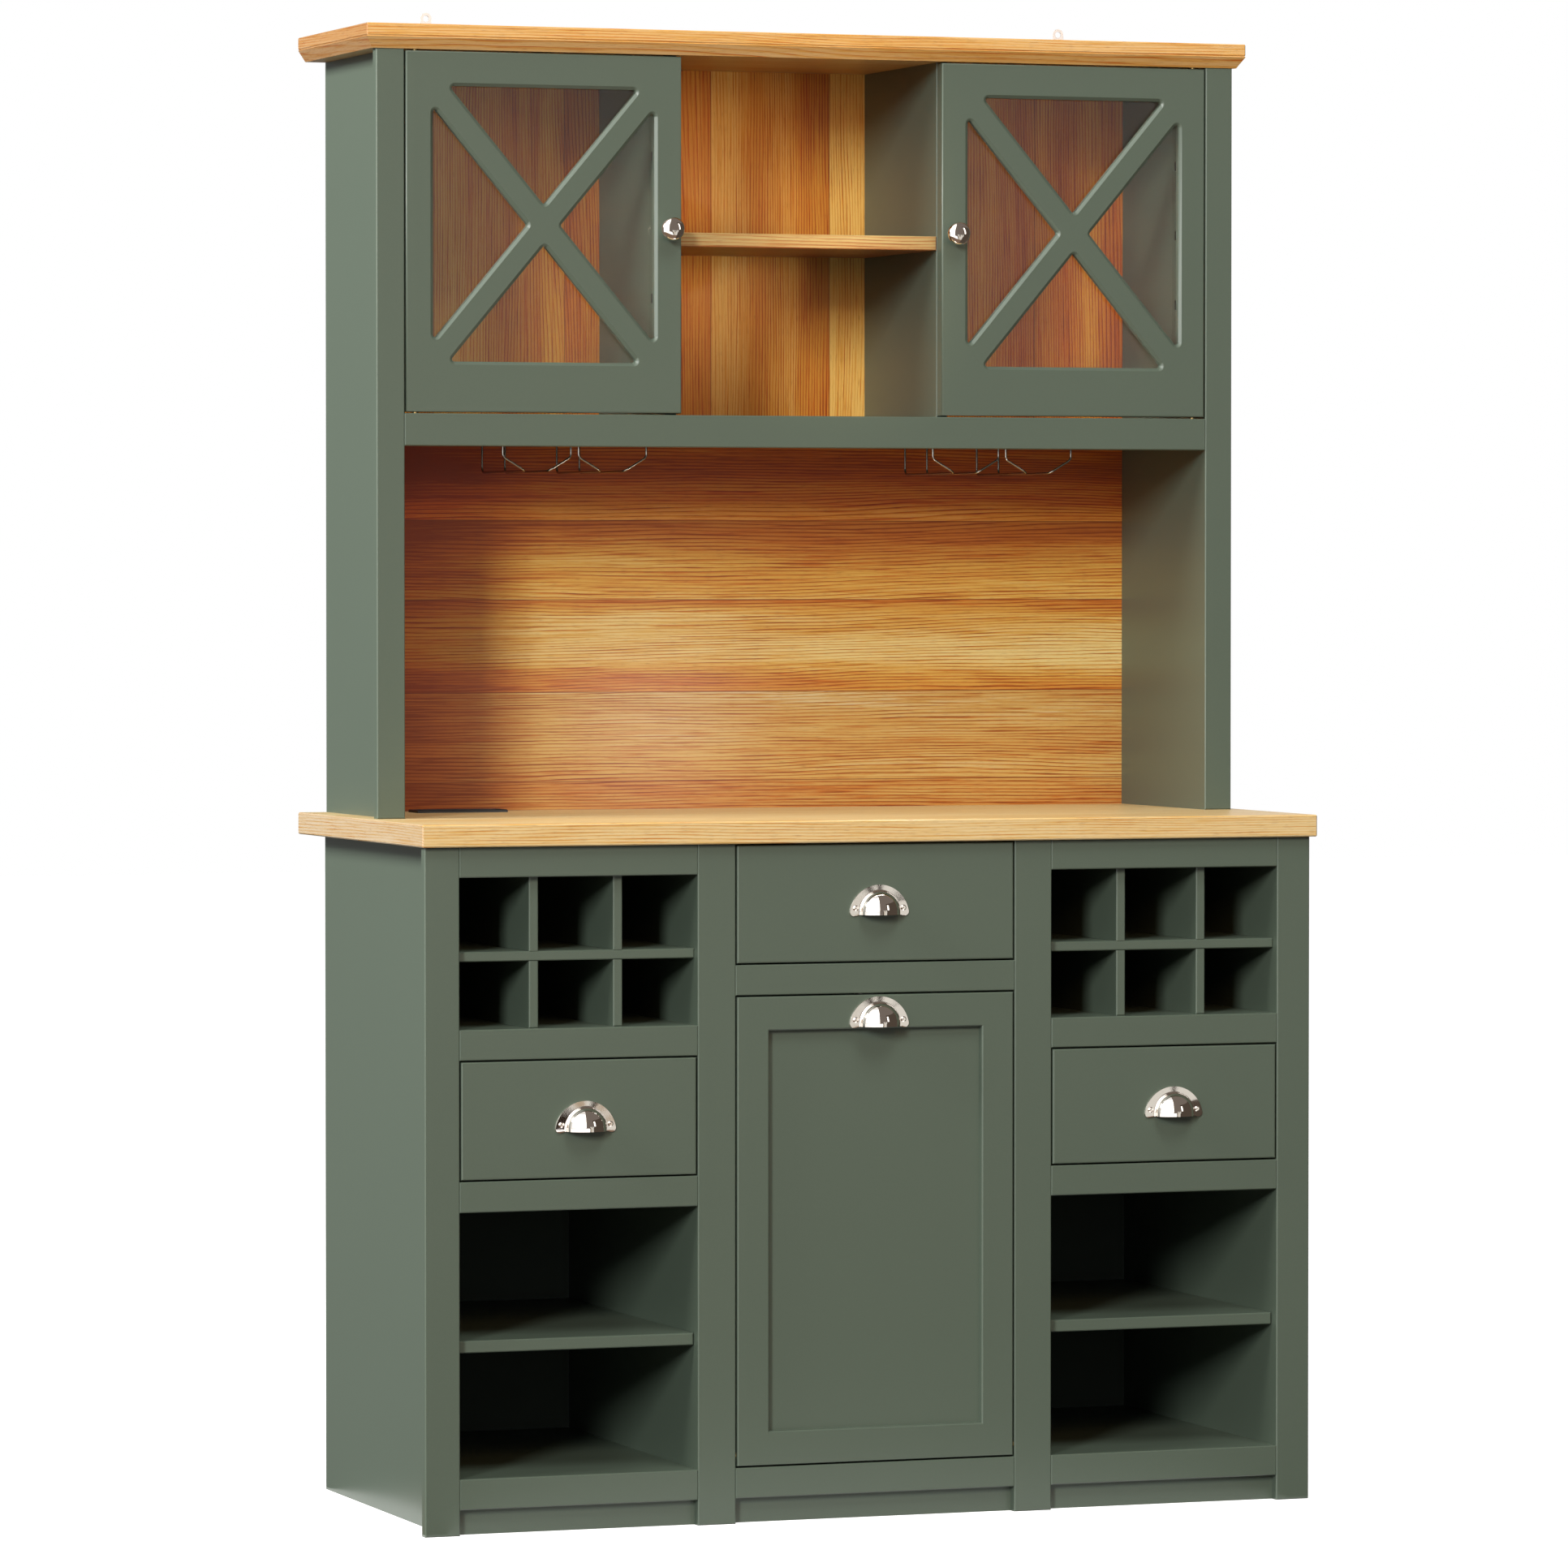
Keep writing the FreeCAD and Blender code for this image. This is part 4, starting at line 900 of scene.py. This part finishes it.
def strips_mesh(name, low, high, sizes):
    """The two flat strips of one rack, with rounded ends."""
    form = bmesh.new()
    half = sizes.strip / 2
    for y in (low.y + half, high.y - half):
        outline = []
        for x, start in ((high.x - half, -90.0), (low.x + half, 90.0)):
            round_end = arc((0.0, 0.0), half, start, start + 180.0, STRIP_STEPS)
            outline += [(x + p[0], y + p[1]) for p in round_end]
        face = form.faces.new([form.verts.new((*point, high.z)) for point in outline])
        pushed = bmesh.ops.extrude_face_region(form, geom=[face])
        moved = [part for part in pushed["geom"] if isinstance(part, bmesh.types.BMVert)]
        bmesh.ops.translate(form, verts=moved, vec=(0, 0, -sizes.strip_thick))
    mesh = mesh_of(form, name)
    smooth(mesh, 30.0)
    return mesh


# Geometry Nodes
def node_tree(name, inputs):
    """A Geometry Nodes tree with a mesh in, a mesh out, named sizes and a material."""
    mesh = [("Geometry", "Geometry")]
    sizes = [(label, "Float") for label in inputs]
    return new_group(name, mesh + sizes + [("Material", "Material")], mesh, "GeometryNodeTree")


def close_tree(tree, shape, given, result):
    """End a tree: its instances made real and its material set."""
    whole = first(tree, "GeometryNodeRealizeInstances", {"Geometry": shape})
    finished = {"Geometry": whole, "Material": given["Material"]}
    done = first(tree, "GeometryNodeSetMaterial", finished)
    lead(tree, result, {"Geometry": done})
    return tree


def screw_tree():
    """Domed screw heads with a cross recess, one on each point, facing along its own direction."""
    tree, given, result = node_tree("Screw heads", ("Head Radius", "Head Height", "Recess"))
    radius, height, recess = given["Head Radius"], given["Head Height"], given["Recess"]

    def raised(mesh, rise):
        """A mesh moved up."""
        move = {"Geometry": mesh, "Translation": vector(tree, Z=rise)}
        return first(tree, "GeometryNodeTransform", move)

    half = times(tree, height, 0.5)
    sides = {"Vertices": SCREW_SIDES, "Depth": half}
    rim = first(tree, "GeometryNodeMeshCylinder", {**sides, "Radius": radius})
    crown = times(tree, radius, SCREW_CROWN)
    sides = {**sides, "Radius Top": crown, "Radius Bottom": radius}
    dome = first(tree, "GeometryNodeMeshCone", sides)
    parts = [raised(rim, times(tree, half, 0.5)), raised(dome, half)]
    head = first(tree, "GeometryNodeMeshBoolean", {"Mesh 2": parts}, operation="UNION")
    arm = times(tree, radius, SCREW_ARM)
    cuts = []
    for wide, deep in ((arm, recess), (recess, arm)):
        size = vector(tree, X=wide, Y=deep, Z=height)
        cuts.append(raised(first(tree, "GeometryNodeMeshCube", {"Size": size}), height))
    cut = {"Mesh 1": head, "Mesh 2": cuts}
    cross = first(tree, "GeometryNodeMeshBoolean", cut, operation="DIFFERENCE")
    named = {"Name": "facing"}
    facing = first(tree, "GeometryNodeInputNamedAttribute", named, data_type="FLOAT_VECTOR")
    turn = first(tree, "FunctionNodeAlignRotationToVector", {"Vector": facing}, axis="Z")
    spread = {"Points": given["Geometry"], "Instance": cross, "Rotation": turn}
    heads = first(tree, "GeometryNodeInstanceOnPoints", spread)
    return close_tree(tree, heads, given, result)


def wire_tree():
    """Round wire along the edges of a mesh, with its corners bent to a radius."""
    tree, given, result = node_tree("Bent wire", ("Radius", "Bend"))
    path = first(tree, "GeometryNodeMeshToCurve", {"Mesh": given["Geometry"]})
    bend = {"Curve": path, "Radius": given["Bend"], "Limit Radius": True, "Count": BEND_STEPS}
    bent = first(tree, "GeometryNodeFilletCurve", bend, mode="POLY")
    circle = {"Resolution": WIRE_SIDES, "Radius": given["Radius"]}
    ring = first(tree, "GeometryNodeCurvePrimitiveCircle", circle)
    sweep = {"Curve": bent, "Profile Curve": ring, "Fill Caps": True}
    return close_tree(tree, first(tree, "GeometryNodeCurveToMesh", sweep), given, result)


def grown(name, mesh, tree, values):
    """The plain mesh that a Geometry Nodes tree makes on a mesh."""
    holder = linked(name + "_seed", mesh)
    made = holder.modifiers.new("Nodes", "NODES")
    made.node_group = tree
    for item in tree.interface.items_tree:
        if item.in_out == "INPUT" and item.name in values:
            made[item.identifier] = values[item.name]
    return evaluated(holder, name)


def screws(name, places, direction, head, material, body):
    """A group of screws on one body that face one way; head is (radius, rise, recess)."""
    points = bpy.data.meshes.new(name + "_points")
    points.from_pydata(places, [], [])
    facing = points.attributes.new("facing", "FLOAT_VECTOR", "POINT")
    for item in facing.data:
        item.vector = direction
    values = dict(zip(("Head Radius", "Head Height", "Recess"), head), Material=material)
    mesh = grown(name, points, shared("Screw heads", screw_tree), values)
    smooth(mesh, 30.0)
    return new_piece(name, mesh, material, body)


class CABINET_OT_painted_boards(bpy.types.Operator):
    """Paint the carcass, the face frame, the fronts and the doors"""

    bl_idname = "cabinet.painted_boards"
    bl_label = "Painted boards"

    def execute(self, context):
        look = finish()
        film = {"drift": 0.04, "peel": 0.05}
        gloss = look.paint_roughness
        paint = coated("satin_paint", look.paint, gloss, **film, Specular_IOR_Level=0.5)
        finish_nodes(paint, [node for node in nodes_in("paint") if node not in DOOR_FRAMES])
        # The back of the open bays takes a darker paint: painted shade for the depth of the bays
        deep = scaled(look.paint, 0.60)
        matt = coated("matt_shaded_paint", deep, 0.6, **film, Specular_IOR_Level=0.2)
        finish_nodes(matt, ["base_back"])
        for node in DOOR_FRAMES:
            mesh = routed_mesh(node, node + "_routed")
            new_piece(node + "_routed", mesh, paint, BODY_OF[node], [node])
        return {"FINISHED"}


class CABINET_OT_oak_boards(bpy.types.Operator):
    """Finish the worktop, the crown, the shelf and the two back panels in oak"""

    bl_idname = "cabinet.oak_boards"
    bl_label = "Oak boards"

    def execute(self, context):
        top = oak(
            "oak_worktop", 1.0, 260.0, 0.88, end=(0.72, 0.70, 0.82), tint=(0.93, 1.03, 1.08)
        )
        crown = oak(
            "oak_crown", 1.1, 260.0, 0.77, shift=(0.4, 0.2, 0.3), end=(0.58, 0.50, 0.48)
        )
        # The shelf's end tint, darker and redder, shows mostly on its underside: painted shade
        shelf = oak(
            "oak_shelf", 1.0, 240.0, 0.60, shift=(0.8, 0.5, 0.1),
            end=(1.05, 0.57, 0.43), tint=(0.64, 0.91, 1.62),
        )
        splash = oak(
            "oak_splash", 1.85, 225.0, boards=SPLASH_BOARDS,
            tint=(0.95, 1.02, 0.80), zones=SPLASH_PAINTED_LIGHT,
        )
        back = oak(
            "oak_back", 1.75, 250.0, boards=BACK_BOARDS,
            tint=(0.96, 0.78, 0.40), zones=BACK_ZONES,
        )
        woods = (
            ("worktop", "xzy", top),
            ("crown_top", "xzy", crown),
            ("crown_moulding", "xzy", crown),
            ("hutch_shelf", "xzy", shelf),
            ("backsplash", "xzy", splash),
            ("hutch_back", "zxy", back),
        )
        for node, order, wood in woods:
            mesh = grained_mesh(node, node + "_oak", order)
            new_piece(node + "_oak", mesh, wood, "cabinet", [node])
        return {"FINISHED"}


class CABINET_OT_drawer_boxes(bpy.types.Operator):
    """Finish the drawer boxes, the bin cradle and the battens in bare plywood"""

    bl_idname = "cabinet.drawer_boxes"
    bl_label = "Drawer boxes"

    def execute(self, context):
        finish_nodes(plywood(), nodes_in("carcass"))
        return {"FINISHED"}


class CABINET_OT_small_fittings(bpy.types.Operator):
    """Finish the runners, brackets, hangers, pivots, catches and the outlet"""

    bl_idname = "cabinet.small_fittings"
    bl_label = "Small fittings"

    def execute(self, context):
        look = finish()
        finish_nodes(metal("zinc_steel"), nodes_in("steel"))
        finish_nodes(metal("dull_zinc"), DULL_FITTINGS)
        finish_nodes(metal("turned_brass"), nodes_in("brass"))
        zinc = coated("pale_zinc", look.zinc, 0.42, drift=0.05, peel=0.05)
        black = coated("black_moulding", look.black, 0.5, drift=0.2, peel=0.12)
        white = coated("white_moulding", look.white, 0.45, drift=0.03, peel=0.06)
        finish_nodes(zinc, ["wall_hangers"])
        finish_nodes(black, nodes_in("black"))
        finish_nodes(white, nodes_in("white"))
        return {"FINISHED"}


class CABINET_OT_glass_panes(bpy.types.Operator):
    """Glaze the two doors"""

    bl_idname = "cabinet.glass_panes"
    bl_label = "Glass panes"

    def execute(self, context):
        finish_nodes(clear_glass(), nodes_in("glass"))
        return {"FINISHED"}


class CABINET_OT_cup_pulls(bpy.types.Operator):
    """Make the four cup pulls and their screws"""

    bl_idname = "cabinet.cup_pulls"
    bl_label = "Cup pulls"

    def execute(self, context):
        sizes = context.scene.cabinet_pull
        nickel = metal("polished_nickel")
        for node in PULLS:
            low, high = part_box(node)
            body = BODY_OF[node]
            mesh = cup_pull_mesh(node + "_pressed", low, high, sizes)
            new_piece(node + "_pressed", mesh, nickel, body, [node])
            middle = (low.x + high.x) / 2
            depth = high.y - 0.5 * (sizes.plate_edge + sizes.plate_crown) + SCREW_SINK
            half = sizes.screw_spacing / 2
            places = [(middle + s * half, depth, low.z + sizes.screw_height) for s in (-1, 1)]
            head = (sizes.screw_radius, *PULL_SCREW)
            screws(node + "_screws", places, (0, -1, 0), head, nickel, body)
        return {"FINISHED"}


class CABINET_OT_door_knobs(bpy.types.Operator):
    """Turn the two door knobs"""

    bl_idname = "cabinet.door_knobs"
    bl_label = "Door knobs"

    def execute(self, context):
        nickel = metal("polished_nickel")
        for node in KNOBS:
            low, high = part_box(node)
            seat = Vector(((low.x + high.x) / 2, high.y, (low.z + high.z) / 2))
            profile = knob_profile(KNOB_SHARE * (high.z - low.z), high.y - low.y)
            mesh = turned_mesh(node + "_turned", seat, profile)
            new_piece(node + "_turned", mesh, nickel, BODY_OF[node], [node])
        return {"FINISHED"}


class CABINET_OT_stemware_racks(bpy.types.Operator):
    """Bend the wires of the stemware racks and screw up their strips"""

    bl_idname = "cabinet.stemware_racks"
    bl_label = "Stemware racks"

    def execute(self, context):
        sizes = context.scene.cabinet_wire
        steel = metal("wire_chrome")
        tree = wire_tree()
        values = {"Radius": sizes.radius, "Bend": sizes.bend, "Material": steel}
        for node in STEM_RACKS:
            low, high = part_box(node)
            strips = strips_mesh(node + "_strips", low, high, sizes)
            new_piece(node + "_strips", strips, steel, "cabinet")
            paths = wire_paths(node + "_paths", low, high, sizes)
            mesh = grown(node + "_wires", paths, tree, values)
            smooth(mesh, 60.0)
            new_piece(node + "_wires", mesh, steel, "cabinet", [node])
            inset = STRIP_SCREW_INSET
            columns = (low.x + inset, (low.x + high.x) / 2, high.x - inset)
            lines = (low.y + sizes.strip / 2, high.y - sizes.strip / 2)
            places = [(x, y, high.z - sizes.strip_thick) for y in lines for x in columns]
            screws(node + "_screws", places, (0, 0, -1), STRIP_SCREW, steel, "cabinet")
        return {"FINISHED"}


# Stage
def lamp(name, turn, height, distance, size, power, shade=PLAIN, aim=LAMP_AIM, mirrored=True):
    """A soft lamp that looks at a point, from a direction left of the front and above it.

    Turn and height are angles, size is (width, height), and mirrored tells if metal shows it.
    """
    data = bpy.data.lights.new(name, "AREA")
    data.shape = "RECTANGLE"
    data.size, data.size_y = size
    data.energy = power
    data.color = shade
    made = linked(name, data)
    flat = math.cos(height) * distance
    away = Vector((-flat * math.sin(turn), -flat * math.cos(turn), distance * math.sin(height)))
    made.location = aim + away
    made.rotation_euler = (aim - made.location).to_track_quat("-Z", "Y").to_euler()
    made.visible_camera = False
    made.visible_glossy = mirrored
    return data


def seen_rays(tree):
    """A mask of what the camera, metal and glass see."""
    path = add(tree, "ShaderNodeLightPath").outputs
    seen = reckon(tree, "MAXIMUM", path["Is Camera Ray"], path["Is Glossy Ray"])
    return reckon(tree, "MAXIMUM", seen, path["Is Transmission Ray"])


def glow(tree, shade, strength):
    """A plain light of a colour."""
    return first(tree, "ShaderNodeEmission", {"Color": (*shade, 1.0), "Strength": strength})


def white_world(ambient):
    """White behind the object and in its reflections, and a plain level of light from all round."""
    world = bpy.data.worlds.new("studio")
    bpy.context.scene.world = world
    tree = bare_tree(world)
    strength = span(tree, seen_rays(tree), 0.0, 1.0, ambient, 1.0)
    back = first(tree, "ShaderNodeBackground", {"Color": (*PLAIN, 1.0), "Strength": strength})
    add(tree, "ShaderNodeOutputWorld", {"Surface": back})


def floor_material():
    """A pale floor that reads white to the camera and keeps the object's shadow."""
    material = bpy.data.materials.new("pale_floor")
    tree = bare_tree(material)
    plain = first(tree, "ShaderNodeBsdfDiffuse", {"Color": (0.55, 0.55, 0.55, 1.0)})
    place = add(tree, "ShaderNodeTexCoord").outputs["Object"]
    reach = add(tree, "ShaderNodeVectorMath", {0: place}, operation="LENGTH").outputs["Value"]
    lift = glow(tree, PLAIN, span(tree, reach, *FLOOR_FADE))
    lifted = first(tree, "ShaderNodeAddShader", {0: plain, 1: lift})
    dim = first(tree, "ShaderNodeBsdfDiffuse", {"Color": (0.12, 0.115, 0.11, 1.0)})
    both = first(tree, "ShaderNodeMixShader", {0: seen_rays(tree), 1: dim, 2: lifted})
    add(tree, "ShaderNodeOutputMaterial", {"Surface": both})
    return material


def card_material(shade):
    """A plain card that reflections show."""
    name = shade + "_card"
    made = bpy.data.materials.get(name)
    if made:
        return made
    made = bpy.data.materials.new(name)
    tree = bare_tree(made)
    add(tree, "ShaderNodeOutputMaterial", {"Surface": glow(tree, *CARD_SHADES[shade])})
    return made


def card(name, shade, reaches, turn, heights, steps):
    """A curved card round the stage that only reflections see."""
    form = bmesh.new()
    turns = [math.radians(turn[0] + (turn[1] - turn[0]) * i / steps) for i in range(steps + 1)]
    rows = [
        [form.verts.new((reach * math.sin(a), -reach * math.cos(a), height)) for a in turns]
        for reach, height in zip(reaches, heights)
    ]
    skin(form, rows)
    mesh = mesh_of(form, name)
    mesh.materials.append(card_material(shade))
    made = linked(name, mesh)
    made.visible_camera = False
    made.visible_diffuse = False
    made.visible_shadow = False
    made.visible_transmission = False


class CABINET_OT_stage(bpy.types.Operator):
    """Set up the floor, the light and the camera"""

    bl_idname = "cabinet.stage"
    bl_label = "Stage"

    def execute(self, context):
        stage = context.scene.cabinet_stage
        white_world(stage.ambient)
        mesh = bpy.data.meshes.new("floor")
        ways = ((-1, -1), (1, -1), (1, 1), (-1, 1))
        corners = [(x * FLOOR_REACH, y * FLOOR_REACH, 0.0) for x, y in ways]
        mesh.from_pydata(corners, [], [(0, 1, 2, 3)])
        mesh.materials.append(floor_material())
        floor = linked("floor", mesh)
        for row in CARDS:
            card(*row)
        for spot, (bar, end, shade) in enumerate(SIGHTS):
            card("deep_bar_%d" % spot, "deep", (NEAR, NEAR), bar, (0.55, 1.6), 2)
            card("shade_end_%d" % spot, shade, (NEAR, NEAR), end, (0.0, 0.85), 2)
            card("shade_floor_%d" % spot, shade, (ROOM, NEAR), end, SHADE_FLOOR, 2)
        self.light(stage)
        camera = bpy.data.cameras.new("camera")
        camera.lens = stage.lens
        camera.sensor_width = SENSOR
        camera.clip_end = VIEW_END
        made = linked("camera", camera)
        made.location = stage.camera_place
        made.rotation_euler = (math.pi / 2 - stage.camera_tilt, 0.0, -stage.camera_turn)
        context.scene.camera = made
        context.scene.view_settings.view_transform = "Standard"
        return {"FINISHED"}

    def light(self, stage):
        """The key lamp, the lamps round it and the small one for the open compartment."""
        lamp("key_lamp", stage.key_turn, stage.key_height, 30.0, (5.0, 7.5), stage.key_power)
        lamp(
            "fill_lamp", math.radians(5.0), math.radians(18.4), 3.8, (1.4, 1.0),
            stage.fill_power, stage.fill_shade, mirrored=False,
        )
        lamp(
            "side_lamp", math.radians(90.0), math.radians(30.0), 6.0, (3.0, 2.0),
            stage.side_power, stage.side_shade,
        )
        lamp(
            "high_lamp", math.radians(-4.0), math.radians(55.0), 12.0, (5.1, 4.5),
            stage.top_power, mirrored=False,
        )
        niche = lamp(
            "niche_lamp", math.radians(-24.0), 0.0, 1.05, (0.10, 0.30),
            stage.niche_power, stage.niche_shade, NICHE_AIM, mirrored=False,
        )
        niche.spread = math.radians(24.0)


OPERATORS = (
    CABINET_OT_painted_boards,
    CABINET_OT_oak_boards,
    CABINET_OT_drawer_boxes,
    CABINET_OT_small_fittings,
    CABINET_OT_glass_panes,
    CABINET_OT_cup_pulls,
    CABINET_OT_door_knobs,
    CABINET_OT_stemware_racks,
    CABINET_OT_stage,
)
SETTINGS = (
    ("cabinet_finish", CabinetFinish),
    ("cabinet_pull", CabinetPull),
    ("cabinet_wire", CabinetWire),
    ("cabinet_stage", CabinetStage),
)


class CABINET_PT_panel(bpy.types.Panel):
    """The cabinet's pieces, in the order in which they are made"""

    bl_label = "Cabinet"
    bl_idname = "CABINET_PT_panel"
    bl_space_type = "VIEW_3D"
    bl_region_type = "UI"
    bl_category = "Cabinet"

    def draw(self, context):
        for operator in OPERATORS:
            self.layout.operator(operator.bl_idname)


def register():
    """Register the settings, the operators and the panel."""
    for name, group in SETTINGS:
        bpy.utils.register_class(group)
        setattr(bpy.types.Scene, name, bpy.props.PointerProperty(type=group))
    for made in (*OPERATORS, CABINET_PT_panel):
        bpy.utils.register_class(made)


def unregister():
    """Take the settings, the operators and the panel away again."""
    for made in reversed((*OPERATORS, CABINET_PT_panel)):
        bpy.utils.unregister_class(made)
    for name, group in reversed(SETTINGS):
        delattr(bpy.types.Scene, name)
        bpy.utils.unregister_class(group)


def main():
    """Make every piece in order."""
    register()
    for operator in OPERATORS:
        family, name = operator.bl_idname.split(".")
        getattr(getattr(bpy.ops, family), name)()


if __name__ == "__main__":
    main()
